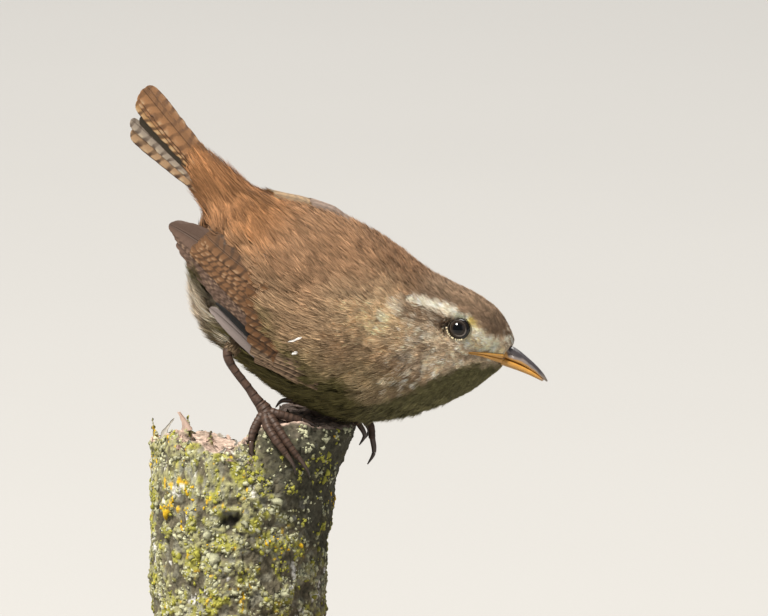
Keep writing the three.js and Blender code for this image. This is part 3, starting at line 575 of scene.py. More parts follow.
def inside(s, h, outline):
    """True inside a closed outline of (s, h) places."""
    found = np.zeros(np.shape(s), bool)
    for (s0, h0), (s1, h1) in zip(outline, outline[1:] + outline[:1]):
        crosses = (h0 > h) != (h1 > h)
        with np.errstate(divide="ignore", invalid="ignore"):
            at = s0 + (h - h0) / (h1 - h0) * (s1 - s0)
        found ^= crosses & (s < at)
    return found


def wing_height(h, y):
    return h - np.where(y > 0, WING_RAISE[LEFT], WING_RAISE[RIGHT])


def wing_shows(s, h, y):
    return inside(s, wing_height(h, y), WING_WINDOW) & (np.abs(y) > 4)


def wing_covered(s, h, y):
    """Share of the wing's thickness that lifts the plumage at a place."""
    h = wing_height(h, y)
    front = soft_drop(s, -2, 8)
    top = soft_drop(h - table(s, COVER_TOP), 0, 6)
    low = soft_step(h - table(s, COVER_LOW), -2.5, 1.5)
    return front * top * low * soft_step(np.abs(y), 3, 7)


# %% [markdown]
# ## Skin and coat
# The form is the outside of the plumage. Feathers set on the form itself would make the bird too fat. So the skin
# lies inside it by the coat's depth, and the feathers stand on the skin. Under the bare part of the wing the skin
# sinks away.


# %% Swell the shoulders, then set the skin inside the coat
COAT_DEPTHS = [(30, 0.25), (26, 0.4), (20, 0.55), (12, 0.9), (4, 1.3), (-30, 1.4), (-40, 0.9)]
SINK = 1.2


def grid_normals(points):
    down = np.gradient(points, axis=0)
    around = (np.roll(points, -1, 1) - np.roll(points, 1, 1)) / 2
    normals = unit(np.cross(down, around))
    outward = (normals * (points - FORM_MIDDLE)).sum(-1, keepdims=True)
    return np.where(outward.mean() < 0, -normals, normals)


def coat_depth(s, h, y):
    """How deep the plumage is: shallow on the face, deep on the body."""
    return table(s, COAT_DEPTHS)


sides = np.where(grid_y > 0, LEFT, RIGHT)
envelope = np.where(grid_y > 0, wing_reach(LEFT, grid_s, grid_h), wing_reach(RIGHT, grid_s, grid_h))
swell = np.maximum(envelope + WING_TOP - np.abs(grid_y), 0) * wing_covered(grid_s, grid_h, grid_y)
swell = blurred(swell, 6)
trunk_points = form_points
form_points = form_points + LEFTWARD * (sides * swell)[..., None]
form_normals = grid_normals(form_points)
bare = blurred(wing_shows(grid_s, grid_h, grid_y).astype(float), 4)
grid_s, grid_h, grid_y = bird_axes(form_points)
depth_grid = coat_depth(grid_s, grid_h, grid_y)
skin_points = form_points - form_normals * depth_grid[..., None]
bare_points = skin_points * (1 - bare[..., None]) + (trunk_points - form_normals * SINK) * bare[..., None]


# %% Reading the skin between its points
def on_grid(grid, u, v):
    """Reads one of the form's grids, which closes round the bird."""
    row = np.clip(u * FORM_ROWS - 0.5, 0, FORM_ROWS - 1.001)
    column = (v % 1) * FORM_COLUMNS
    i, j = row.astype(int), column.astype(int) % FORM_COLUMNS
    a, b = (row - i)[..., None], (column - column.astype(int))[..., None]
    k = (j + 1) % FORM_COLUMNS
    upper = grid[i, j] * (1 - b) + grid[i, k] * b
    return upper * (1 - a) + (grid[i + 1, j] * (1 - b) + grid[i + 1, k] * b) * a


steps_u = np.gradient(skin_points, axis=0) * FORM_ROWS
steps_v = (np.roll(skin_points, -1, 1) - np.roll(skin_points, 1, 1)) / 2 * FORM_COLUMNS
cell_area = np.linalg.norm(np.cross(steps_u, steps_v), axis=-1)
print("skin area, square mm:", round(float(cell_area.mean())))

# %% [markdown]
# ## The wren's markings
# A wren is warm brown above, rusty on the rump, with a darker crown, a cream stripe over the eye, a mottled cheek
# and a buff-grey underside. Here the throat and belly are laid dark olive as painted shade, and a patch on the
# shoulder and the lower breast are laid lighter as painted light. The colours could be painted on each mesh by
# hand. Instead one function says what colour the plumage is at any place on the bird, and the skin and every
# feather ask it, so they always agree.

# %% Plumage colours
PLUMAGE = {
    "mantle": (0.32, 0.185, 0.102),
    "rump": (0.27, 0.13, 0.056),
    "crown": (0.31, 0.21, 0.135),
    "stripe": (1.0, 0.9, 0.73),
    "brow": (0.66, 0.52, 0.16),
    "eyeline": (0.2, 0.13, 0.08),
    "cheek": (0.68, 0.53, 0.37),
    # painted light: a pale patch where light falls on the shoulder and the front of the flank
    "shoulder": (0.92, 0.7, 0.44),
    "lore": (0.97, 0.8, 0.52),
    "flank": (0.4, 0.265, 0.155),
    "breast": (0.41, 0.31, 0.18),
    # painted shade: the throat is laid dark olive, darker than a wren's pale buff throat
    "shaded_throat": (0.18, 0.162, 0.072),
    # painted shade: the belly is laid dark olive-green
    "belly": (0.145, 0.125, 0.045),
    # partly painted light: the vent is pale buff and laid paler still against the shade under the wing's tip
    "vent": (0.56, 0.47, 0.36),
}
TONE_AREAS = {  # s and h, half sizes along and up, share of lighter or darker
    "shoulder's edge": (-10.4, 7.1, 6, 4, -0.15),
    "before the wing": (-11.5, -2.5, 4, 5, -0.15),
    # painted light on the lower breast, above the shaded belly
    "lower breast": (6.5, -7.4, 6, 2.4, 0.5),
    # painted shade on the belly
    "belly": (8, -12.5, 12, 3.5, -0.2),
    "over the tail's root": (-33.0, 12.0, 5, 5, 0.35),
    "rump": (-25.5, 10.0, 5, 5, -0.15),
    # painted light on the lores
    "before the eye": (24.5, 8.2, 2.5, 2.5, 0.25),
}
STRIPE_PATH = [(9.3, 9.5), (11.7, 10.0), (14.3, 10.35), (17.0, 10.45), (19.9, 10.4)]
BROW_PATH = [(20.7, 10.2), (21.6, 9.7)]
LORE_PATH = [(21.9, 9.0), (23.8, 8.6), (26.2, 8.3)]
EYE_LINE = [(9.5, 7.6), (14.0, 8.2), (17.4, 8.6)]
THROAT_SHADE_LINE = [
    (4.0, -13.5), (10.6, -10.2), (16.0, -5.3), (18.9, -1.4), (22.0, 1.8), (24.3, 3.7), (27.0, 4.7), (32, 5.4),
]
CHEEK_SPOTS = [(12.2, 3.2, 1.1), (10.9, 7.0, 0.9), (7.2, 7.9, 1.3), (6.0, 4.8, 1.2), (14.8, 5.2, 0.8)]
EAR = (11.6, -0.4)
FLANK_BAR = 1.9


def on_line(s, h, path, tight, loose, wander=0.0):
    """1 on a line of places on the bird's side, falling to 0 between tight and loose millimetres off it."""
    return soft_drop(near_path(s, h, path) + wander, tight, loose)


# %% The colour at any place
def plumage(points):
    """The coat's colour at places given in millimetres."""
    s, h, y = bird_axes(points)
    side = np.abs(y)
    colour = np.zeros(points.shape) + PLUMAGE["mantle"]

    def lay(name, share):
        nonlocal colour
        colour = laid(colour, PLUMAGE[name], share)

    # The large areas, each with a wandering edge.
    wander = 1.2 * ripple(points, 7, 21)
    lay("rump", soft_step(-s, 12, 22) * soft_step(h, 2, 8))
    lay("flank", soft_step(-(h + wander), -7.5, 3))
    # Painted light: the shoulder's pale patch.
    front = np.exp(-(((s - 5.5) / 7.5) ** 2) - ((h - 4 + 0.5 * wander) / 5.2) ** 2)
    lay("shoulder", 0.9 * front * soft_step(side, 3, 8))
    lay("breast", soft_step(-(h + wander), 1, 6) * soft_step(s, -12, 6))
    # Painted shade: the belly is laid dark olive-green.
    lay("belly", soft_step(-(h + wander) - 0.28 * s, 5.5, 10))
    # Partly painted light: the vent is laid paler than its own buff.
    lay("vent", soft_step(-s, 19, 25) * soft_step(-h, 1, 6))
    lay("crown", soft_step(s, 6, 12) * soft_step(h + 0.1 * s + 0.5 * wander, 10.5, 12.5))
    lay("cheek", soft_step(s, 10, 14) * soft_step(-(h - 0.02 * s), -9.5, -7.5) * soft_step(h, -4, -0.5))
    # Painted shade: below the throat's shade line the throat is laid dark olive.
    below = table(s, THROAT_SHADE_LINE) - h + 0.5 * ripple(points, 1.6, 24)
    lay("shaded_throat", soft_step(below, -0.6, 1.3) * soft_step(s, 6, 12))
    lore = soft_step(s, 20.6, 21.6) * soft_step(h, 5.4, 6.6) * soft_drop(h + 0.35 * (s - 22), 9.3, 10.6)
    lay("lore", 0.9 * lore * soft_step(side, 1.2, 2.6))
    lay("eyeline", 0.52 * on_line(s, h, EYE_LINE, 0.9, 2.1, 0.3 * wander) * soft_step(side, 4, 6))

    # The face's mottling, then its stripes and spots.
    mottle = ripple(points * [1, 1, 1.6], 1.7, 5)
    on_face = soft_step(s, 7, 13) * soft_step(side, 1.5, 4) * soft_drop(h, 9.5, 11) * soft_drop(below, -0.8, 0.6)
    on_crown = soft_step(s, 6, 12) * soft_step(h, 10, 12)
    colour = colour * (1 + (0.24 * on_face + 0.14 * on_crown + 0.05) * mottle)[..., None]
    flecks = ripple(points * [1.0, 1.0, 1.8], 0.85, 9) + 0.4 * ripple(points, 2.6, 10)
    lay("stripe", 0.75 * on_face * soft_step(flecks, 0.3, 0.9))
    lay("eyeline", 0.62 * on_face * soft_step(-flecks, 0.35, 1.0))
    lay("stripe", on_line(s, h, STRIPE_PATH, 0.5, 1.2, 0.2 * wander + 0.15 * mottle) * soft_step(side, 3, 5))
    lay("brow", 0.8 * on_line(s, h, BROW_PATH, 0.3, 1.0) * soft_step(side, 3, 5))
    lay("stripe", 0.5 * on_line(s, h, LORE_PATH, 0.4, 1.3, 0.4 * mottle) * soft_step(side, 1.5, 3))
    frosted = soft_step(s + 0.2 * h, 28.2, 29.4) * soft_step(h, 8.2, 9.4)
    lay("stripe", 0.9 * frosted * soft_step(ripple(points, 1.0, 12), -0.3, 0.3))
    for spot_s, spot_h, size in CHEEK_SPOTS:
        spot = soft_drop(np.hypot(s - spot_s, h - spot_h) + 0.35 * mottle, 0.4 * size, 1.3 * size)
        lay("stripe", 0.6 * spot * soft_step(side, 3, 6))
    ear = soft_drop(np.hypot((s - EAR[0]) / 1.6, h - EAR[1]) + 0.2 * mottle, 0.4, 1.1)
    lay("eyeline", 0.7 * ear * soft_step(side, 4, 7))

    # Streaks, lighter and darker areas, some of them painted light and shade, and the flank's fine bars.
    lie_streak = ripple(stack(s * 0.35 + h * 0.1, h * 1.3, y * 1.3), 1.3, 14)
    colour = colour * (1 + (0.13 + 0.16 * soft_step(-s, 14, 22)) * lie_streak)[..., None]
    ragged = ripple(points, 1.1, 61) * soft_step(-s, 14, 19) * soft_step(-h, 5, 8)
    lay("stripe", 0.7 * soft_step(ragged, 0.35, 0.8))
    lay("eyeline", 0.8 * soft_step(-ragged, 0.3, 0.8))
    for s0, h0, wide, high, more in TONE_AREAS.values():
        area = np.exp(-(((s - s0) / wide) ** 2) - ((h - h0) / high) ** 2)
        colour = colour * (1 + more * area)[..., None]
    bars = np.sin(s * 2 * pi / FLANK_BAR + 1.4 * ripple(points, 4, 31))
    barred = soft_step(-s, -2, 10) * soft_step(-h, 4, 9) + 0.25 * soft_step(-s, 4, 14)
    return np.clip(colour * (1 + 0.12 * np.clip(barred, 0, 1) * bars)[..., None], 0.01, 0.95)


# %% [markdown]
# ## The skin
# The skin closes the form under the feathers. It is a plain sheet on the grid, painted with the same markings
# but darker: partly the darker downy bases of a bird's feathers, and partly painted shade in the gaps between them.

# %% Skin
BAKE_MARGIN = 0.02
BAKE_WIDTH = 1 - 2 * BAKE_MARGIN
# Partly the darker down and partly painted shade in the gaps between feathers.
DOWN_AND_SHADE_TONE = 0.72


def bake_place(u, v):
    """The stored-colour map is the form's own grid laid flat."""
    return stack(BAKE_MARGIN + BAKE_WIDTH * (v % 1), BAKE_MARGIN + BAKE_WIDTH * u)


skin_finish = Finish("down_skin", Roughness=0.9)
down = skin_finish.noise(2600.0, detail=2)
skin_finish.colour(skin_finish.mix(0.35, skin_finish.paint("markings"), down, "MULTIPLY"))
skin_finish.relief(down, 0.0003, 0.6)

SKIN_STEP = 2
skin_rows = np.arange(0, FORM_ROWS, SKIN_STEP)
skin_columns = np.append(np.arange(0, FORM_COLUMNS, SKIN_STEP), FORM_COLUMNS)
rows, columns = np.meshgrid(skin_rows, skin_columns, indexing="ij")
sheet = bare_points[rows, columns % FORM_COLUMNS]
caps = bare_points[[0, -1]].mean(1)
sheet = np.concatenate([np.broadcast_to(caps[0], sheet[:1].shape), sheet, np.broadcast_to(caps[1], sheet[:1].shape)])
chart_u = np.concatenate([[0], (skin_rows + 0.5) / FORM_ROWS, [1]])
chart = bake_place(chart_u[:, None], columns[:1] / FORM_COLUMNS * 0.99999)
chart[:, -1, 0] = 1 - BAKE_MARGIN
flat = sheet.reshape(-1, 3)
piece(
    "skin",
    flat,
    sheet_faces(*sheet.shape[:2])[:, ::-1],
    skin_finish,
    "plumage_brown",
    paint={"markings": plumage(flat) * DOWN_AND_SHADE_TONE},
    maps={"OFBake": chart.reshape(-1, 2)},
    replaces=("head", "neck", "torso"),
)

# %% [markdown]
# ## How a small feather is made
# A contour feather is a shaft with barbs that fan out and then run side by side to a round tip. At arm's length
# the barbs are what one sees. Hair strands would make fur, and flat cards would make scales. So each feather here
# is a tuft of thin, tapered barbs that spring from near its root, spread over its width and bend down towards the
# bird. The tufts overlap like tiles from bill to tail.


# %% Grow tufts
PATCH = 0.003
LOOSE_LEVELS = 5


def along_form(u, v, move):
    """Steps in u and v that carry a place on the skin by a small move along it."""
    du, dv = on_grid(steps_u, u, v), on_grid(steps_v, u, v)
    uu, vv, uv = (du * du).sum(-1), (dv * dv).sum(-1), (du * dv).sum(-1)
    mu, mv = (move * du).sum(-1), (move * dv).sum(-1)
    share = np.maximum(uu * vv - uv * uv, 1e-6)
    return (vv * mu - uv * mv) / share, (uu * mv - uv * mu) / share


# %% One tuft's barbs
def tuft_plan(count, long, wide, barbs, t):
    """How far along and across its tuft each point of each barb lies."""
    fan = np.linspace(-1, 1, barbs) + draw.normal(0, 0.35 / barbs, (count, barbs))
    start = 0.04 + 0.25 * draw.random((count, barbs)) * (1 - np.abs(fan))
    end = (1 - 0.32 * fan**2) * draw.uniform(0.86, 1.06, (count, barbs))
    a = (start[..., None] + (end - start)[..., None] * t) * long[:, None, None]
    drift = draw.normal(0, 0.05, (count, barbs, 1)) * t**2
    c = (fan[..., None] * np.sin(pi / 2 * t**0.75) * (1 - 0.12 * t) + drift) * wide[:, None, None] / 2
    return fan, a, c


# %% Barbs as thin strips
def barb_piece(name, centre, up, t, fan, wide, thin, ground, patch_place, finish, slot):
    """Thickens the barbs' lines into tapered strips, colours them and makes the piece."""
    count, barbs, levels = centre.shape[:3]
    run = unit(np.gradient(centre, axis=2))
    twist = draw.normal(0, 0.45, (count, barbs, 1, 1))
    flat = unit(np.cross(up, run))
    flat = flat * np.cos(twist) + up * np.sin(twist)
    taper = (0.55 + 0.45 * np.sin(pi * (0.15 + 0.7 * t)))[:-1]
    half = thin / 2 * taper * (0.6 + 0.4 * (wide / wide.mean()))[:, None, None]
    edge = flat[:, :, :-1] * half[..., None]
    sides = np.stack([centre[:, :, :-1] - edge, centre[:, :, :-1] + edge], 3).reshape(count, barbs, -1, 3)
    points = np.concatenate([sides, centre[:, :, -1:]], axis=2)
    per = 2 * (levels - 1) + 1
    pattern = [[2 * k, 2 * k + 1, 2 * k + 2] for k in range(levels - 1)]
    pattern += [[2 * k + 1, 2 * k + 3, 2 * k + 2] for k in range(levels - 2)]
    faces = (np.arange(count * barbs)[:, None, None] * per + np.array(pattern)).reshape(-1, 3)
    share = np.append(np.repeat(t[:-1], 2), 1)
    ground = ground * np.exp(draw.normal(0, 0.18, (count, 1)))
    # Partly painted shade: each barb darkens towards its root, where the feathers above shade it; a real feather's
    # base is darker too.
    root_shade = 0.48 + 0.24 * soft_step(ground.max(-1), 0.45, 0.85)[:, None, None, None]
    shade = root_shade + (1.1 - root_shade) * (share**0.8)[:, None]
    clump = np.repeat(draw.normal(0, 0.17, (count, barbs // 3 + 1)), 3, axis=1)[:, :barbs]
    streak = np.exp(clump + draw.normal(0, 0.1, (count, barbs)))[:, :, None, None]
    colour = ground[:, None, None] * shade * streak
    patch = patch_place[:, None, None] + PATCH * stack(fan[..., None] * 0.5, share - 0.5)
    patch[..., :-1, 0] += PATCH / barbs * np.tile([-0.5, 0.5], levels - 1)
    return piece(
        name, points.reshape(-1, 3), faces, finish, slot,
        paint={"markings": np.clip(colour, 0.005, 0.95).reshape(-1, 3)}, maps={"OFBake": patch.reshape(-1, 2)},
    )


# %% Tufts that follow the skin
def grow_coat(name, u, v, long, wide, lift, barbs, levels, finish, slot, thin, turn):
    """One piece of coat: a tuft at each root (u, v), `long` by `wide` millimetres, its tip `lift` above the skin."""
    count = len(u)
    root = on_grid(skin_points, u, v)
    normal = unit(on_grid(form_normals, u, v))
    lie = on_grid(steps_u, u, v)
    lie = unit(lie - (lie * normal).sum(-1, keepdims=True) * normal)
    across = np.cross(normal, lie)
    angle = (draw.normal(0, 0.12, count) + turn)[:, None]
    lie, across = lie * np.cos(angle) + across * np.sin(angle), across * np.cos(angle) - lie * np.sin(angle)
    t = np.linspace(0, 1, levels)
    fan, a, c = tuft_plan(count, long, wide, barbs, t)
    rise = 0.06 + 0.94 * t**0.85
    s, h, y = bird_axes(root)
    loose = 1 + 0.7 * soft_step(-s, 12, 20) * soft_step(-h, 0, 5) + 0.35 * soft_step(-s, 14, 24) * soft_step(h, 3, 8)
    under_head = soft_step(s, 4, 9) * soft_step(-s, -27, -22) * soft_step(-h - 0.8 * (12 - s), -4, 0)
    loose = loose + 0.8 * under_head * np.clip(ripple(root, 1.3, 71), 0, 1.2)
    high = (lift * loose * draw.uniform(0.7, 1.18, count))[:, None, None] * rise
    high = high * draw.uniform(0.85, 1.12, (count, barbs, 1))
    move = a[..., None] * lie[:, None, None] + c[..., None] * across[:, None, None]
    at_root = [np.broadcast_to(place[:, None, None], a.shape) for place in (u, v)]
    du, dv = along_form(*at_root, move)
    at_u, at_v = u[:, None, None] + du, v[:, None, None] + dv
    up = unit(on_grid(form_normals, at_u, at_v))
    centre = on_grid(skin_points, at_u, at_v) + up * high[..., None]
    ground = plumage(root + lie * (long * 0.8)[:, None])
    return barb_piece(name, centre, up, t, fan, wide, thin, ground, bake_place(u, v), finish, slot)


# %% Tufts that stand free
def loose_tufts(name, root, lie, up, long, wide, lift, barbs, ground, patch_place, finish, slot, thin=0.12):
    """Tufts that stand free of the form, each along its own straight lie."""
    t = np.linspace(0, 1, LOOSE_LEVELS)
    across = unit(np.cross(up, lie))
    fan, a, c = tuft_plan(len(root), long, wide, barbs, t)
    high = lift[:, None, None] * (0.1 + 0.9 * t**0.8) * draw.uniform(0.75, 1.2, (len(root), barbs, 1))
    centre = root[:, None, None] + a[..., None] * lie[:, None, None] + c[..., None] * across[:, None, None]
    centre = centre + high[..., None] * up[:, None, None]
    ups = np.broadcast_to(up[:, None, None], centre.shape)
    return barb_piece(name, centre, ups, t, fan, wide, thin, ground, patch_place, finish, slot)


# %% [markdown]
# ## Where the feathers stand
# Feathers stand in even rows on a bird. Purely random roots would clump and leave holes. A low-clumping sequence
# is simple and even, and each place is then kept or left out by how many feathers its area needs.


# %% Scatter roots evenly
EVEN_STEPS = 0.7548776662466927, 0.5698402909980532
SPARE = 1.15


def even_roots(count, start):
    """Evenly spread (u, v) pairs, from a sequence that never clumps."""
    k = np.arange(start, start + count) + 0.5
    return (k * EVEN_STEPS[0]) % 1, (k * EVEN_STEPS[1]) % 1


def sown(per_area, where, seed_start=0):
    """Roots at per_area(s, h, y) tufts for each square millimetre, kept where `where` is true."""
    most = SPARE * float(per_area(grid_s, grid_h, grid_y).max())
    count = int(most * cell_area.max())
    u, v = even_roots(count, seed_start)
    area = on_grid(cell_area[..., None], u, v)[..., 0]
    s, h, y = bird_axes(on_grid(skin_points, u, v))
    keep = (draw.random(count) * most * cell_area.max() < per_area(s, h, y) * area) & where(s, h, y)
    u, v = u[keep], v[keep]
    order = np.argsort(u)
    return u[order], v[order]


# %% [markdown]
# ## Feather sizes over the bird
# Feathers are tiny at the bill and grow longer towards the tail. Shorter feathers stand closer. The length
# follows a small table, and the number per square millimetre follows from the length, so the whole bird is
# covered to the same depth.

# %% Coat pieces
LENGTHS = [
    (31, 0.8), (27, 1.1), (23, 1.5), (18, 1.9), (12, 2.6), (4, 3.4), (-8, 4.2), (-20, 4.8), (-28, 5.6), (-40, 6.2),
]
GAPE_WIDTHS = [(23.6, 0), (25, 0.05), (27, 0.14), (28.6, 0.36)]
LAYERS = 9.0

coat_finish = Finish("plumage", Roughness=0.65, Specular_IOR_Level=0.12, Sheen_Weight=0.04, Sheen_Roughness=0.5)
grain = coat_finish.noise(5200.0, detail=1)
coat_finish.colour(coat_finish.mix(0.22, coat_finish.paint("markings"), grain, "OVERLAY"))


def feather_long(s, h, y):
    return table(s, LENGTHS)


def per_area(s, h, y):
    long = feather_long(s, h, y)
    return LAYERS / (0.3 * long**2)


def opening(around):
    """How far the eye's oval opening reaches in a direction round its middle."""
    around = around - OPENING_TILT
    return 1 / np.hypot(np.cos(around) / OPENING_LONG, np.sin(around) / OPENING_HIGH)


def off_eye(s, h):
    """How far a place lies outside the eye's opening."""
    s, h = s - EYE["s"] - EYE["ahead"] + EYE_BEHIND, h - EYE["h"] + EYE["lower"]
    return np.hypot(s, h) - opening(np.arctan2(h, s))


def away_from_eye(s, h, y):
    return off_eye(s, h) > 0.06


# %% Where feathers grow and how they lie
def at_bill(s, h, y):
    """The bill's base and the gape are bare."""
    round_bill = np.hypot((h - 6.7) / 2.2, y / 2.4)
    gape = np.abs(h - table(s, MOUTH_LINE)) < table(s, GAPE_WIDTHS)
    return ((s > 28.2) & (round_bill < 1)) | gape


def lie_turn(s, h, y):
    """On the flank the feathers lie turned a little down, away from the back."""
    on_flank = np.exp(-(((s + 2) / 13) ** 2) - ((h + 1) / 8) ** 2)
    return -np.sign(y) * radians(11) * on_flank * soft_step(np.abs(y), 3, 8)


def coat_here(s, h, y):
    return away_from_eye(s, h, y) & ~wing_shows(s, h, y) & ~at_bill(s, h, y)


def near_eye(s, h, y):
    return away_from_eye(s, h, y) & (off_eye(s, h) < 1.3)


# %% Sow the roots and grow the coat
COAT_BARBS = {"head": 7, "body": 13}
u, v = sown(per_area, coat_here)
more_u, more_v = sown(per_area, near_eye, 7000)
u, v = np.append(u, more_u), np.append(v, more_v)
s, h, y = bird_axes(on_grid(skin_points, u, v))
long = feather_long(s, h, y) * draw.uniform(0.85, 1.15, len(u))
long[-len(more_u):] *= 0.45
ahead_of_eye = (s > EYE["s"] - 0.6) & (np.abs(h - EYE["h"]) < 2.6)
long = np.where(ahead_of_eye, np.clip(off_eye(s, h) + 0.12, 0.35, long), long)
wide = long * table(s, [(30, 0.6), (15, 0.55), (0, 0.5)])
lift = coat_depth(s, h, y) * draw.uniform(0.9, 1.08, len(u))
turn = lie_turn(s, h, y)
on_head = s > 9
print("feather roots:", len(u), "on the head:", int(on_head.sum()))
parts = {
    "head_right": on_head & (y < 0),
    "head_left": on_head & (y >= 0),
    "back": ~on_head & (h > 5) & (s > -14),
    "right_side": ~on_head & (h <= 5) & (h > -9) & (y < 0) & (s > -20),
    "left_side": ~on_head & (h <= 5) & (h > -9) & (y >= 0) & (s > -20),
    "belly": ~on_head & (h <= -9) & (s > -20),
}
parts["rear"] = ~np.any(list(parts.values()), axis=0)
for name, chosen in parts.items():
    head = name.startswith("head")
    barbs, levels = (COAT_BARBS["head"], 3) if head else (COAT_BARBS["body"], 4)
    grow_coat(
        "coat_" + name, u[chosen], v[chosen], long[chosen], wide[chosen], lift[chosen], barbs, levels,
        coat_finish, "plumage_buff" if head or name == "belly" else "plumage_brown",
        thin=0.085 if head else 0.12, turn=turn[chosen],
    )

# %% [markdown]
# ## Flight feathers
# A flight feather has a stiff shaft and a smooth vane on each side, gently arched across, with a rounded tip.
# Tufts of barbs would look too soft here. Each vane is a thin closed sheet on a grid: rows run from root to tip
# and columns from edge to edge. The edge is nicked where barbs part. A second map, `vane`, holds how far across
# and how many millimetres from the tip each point is, and the finish draws the bars from it.

# %% One vane
VANE_ACROSS = np.array([-1, -0.86, -0.6, -0.3, -0.07, 0, 0.07, 0.3, 0.6, 0.86, 1])
VANE_ROWS = 30
VANE_WIDTHS = [(0, 0.35), (0.2, 0.8), (0.45, 0.97), (0.7, 1.0), (0.9, 0.97), (1, 0.9)]
VANE_MAP_REACH = 50.0
NICK = 0.86


def vane_plan(length, width, roundness=0.8, taper=0.0):
    """Places of a vane's grid along and across, with a round or tapered tip and a nicked edge."""
    t = 1 - (1 - np.linspace(0, 1, VANE_ROWS)) ** 1.35
    edge = np.abs(VANE_ACROSS) > 0.8
    ragged = draw.normal(0, 0.015, (VANE_ROWS, len(VANE_ACROSS))) * edge
    half = width * table(t, VANE_WIDTHS)[:, None] * (1 + ragged)
    nicks = zip(draw.integers(VANE_ROWS // 3, VANE_ROWS - 4, 2), draw.integers(0, 2, 2))
    for row, far_edge in nicks:
        half[row, far_edge * (len(VANE_ACROSS) - 1)] *= NICK
    half = half * (1 - taper * t[:, None] ** 4)
    along = length * t[:, None] - roundness * width * (1 - np.sqrt(1 - VANE_ACROSS**2)) * t[:, None] ** 2
    along = along + draw.normal(0, 0.03, along.shape) * edge * (t[:, None] > 0.3)
    return along, half * VANE_ACROSS, t


# %% A thin solid
def thin_solid(top, thick_way):
    """A thin solid from a grid of points: its top, a copy below, and a wall whose own points keep edges crisp."""
    rows, columns = top.shape[:2]
    bottom = top - thick_way
    grid = np.arange(rows * columns).reshape(rows, columns)
    rim = np.concatenate([grid[0], grid[1:, -1], grid[-1, -2::-1], grid[-2:0:-1, 0]])
    source = np.concatenate([np.arange(rows * columns), np.arange(rows * columns), rim, rim])
    flat_top, flat_bottom = top.reshape(-1, 3), bottom.reshape(-1, 3)
    points = np.concatenate([flat_top, flat_bottom, flat_top[rim], flat_bottom[rim]])
    upper = sheet_faces(rows, columns)
    ring = 2 * rows * columns + np.arange(len(rim))
    after = np.roll(ring, -1)
    wall = stack(ring, ring + len(rim), after + len(rim), after).astype(int)
    return points, np.concatenate([upper, upper[:, ::-1] + rows * columns, wall]), source


# %% Many vanes as one piece
class VaneSet:
    """Collects vanes and turns them into one piece."""

    CELLS = (16, 8)

    def __init__(self):
        self.points, self.faces, self.total, self.number = [], [], 0, 0
        self.ground, self.vane, self.bake = [], [], []

    def add(self, top, up, along, length, ground, bars, thick=0.1):
        points, faces, source = thin_solid(top, thick * up)
        rows = top.shape[0]
        self.faces.append(faces + self.total)
        self.points.append(points)
        self.total += len(points)
        shade = np.clip(np.array(ground) * draw.uniform(0.9, 1.1), 0, 0.95)
        self.ground.append(np.tile(np.append(shade, bars), (len(points), 1)))
        from_tip = (length - along + draw.uniform(0, 1.1)) * draw.uniform(0.85, 1.2) / VANE_MAP_REACH
        chart = stack(np.broadcast_to((VANE_ACROSS + 1) / 2, along.shape), from_tip).reshape(-1, 2)
        self.vane.append(chart[source])
        column, row = self.number % self.CELLS[0], self.number // self.CELLS[0] % self.CELLS[1]
        corner = np.array([column, row]) / self.CELLS
        flat = stack(
            np.broadcast_to((VANE_ACROSS + 1) / 2 * 0.9, along.shape),
            np.broadcast_to(np.linspace(0, 0.9, rows)[:, None], along.shape),
        )
        spot = corner + (flat.reshape(-1, 2) + 0.05) / self.CELLS
        self.bake.append(spot[source])
        self.number += 1

    def piece(self, name, finish, slot, replaces=()):
        return piece(
            name, np.concatenate(self.points), np.concatenate(self.faces), finish, slot,
            paint={"ground": np.concatenate(self.ground)},
            maps={"OFBake": np.concatenate(self.bake), "vane": np.concatenate(self.vane)},
            replaces=replaces,
        )


# %% [markdown]
# ## The barred finish
# Wing and tail are rufous with dark bars that slant along the barbs and break up towards the shaft, and the
# outer edge is pale between the bars. Bars painted on the points would be as coarse as the grid. So the bars are
# a wave along the `vane` map, bent by a little noise so that none is ruled. How strongly a feather is barred is
# stored with its ground colour.


# %% Barred finish
BAR_BELOW, BAR_ABOVE = 0.35, 0.6


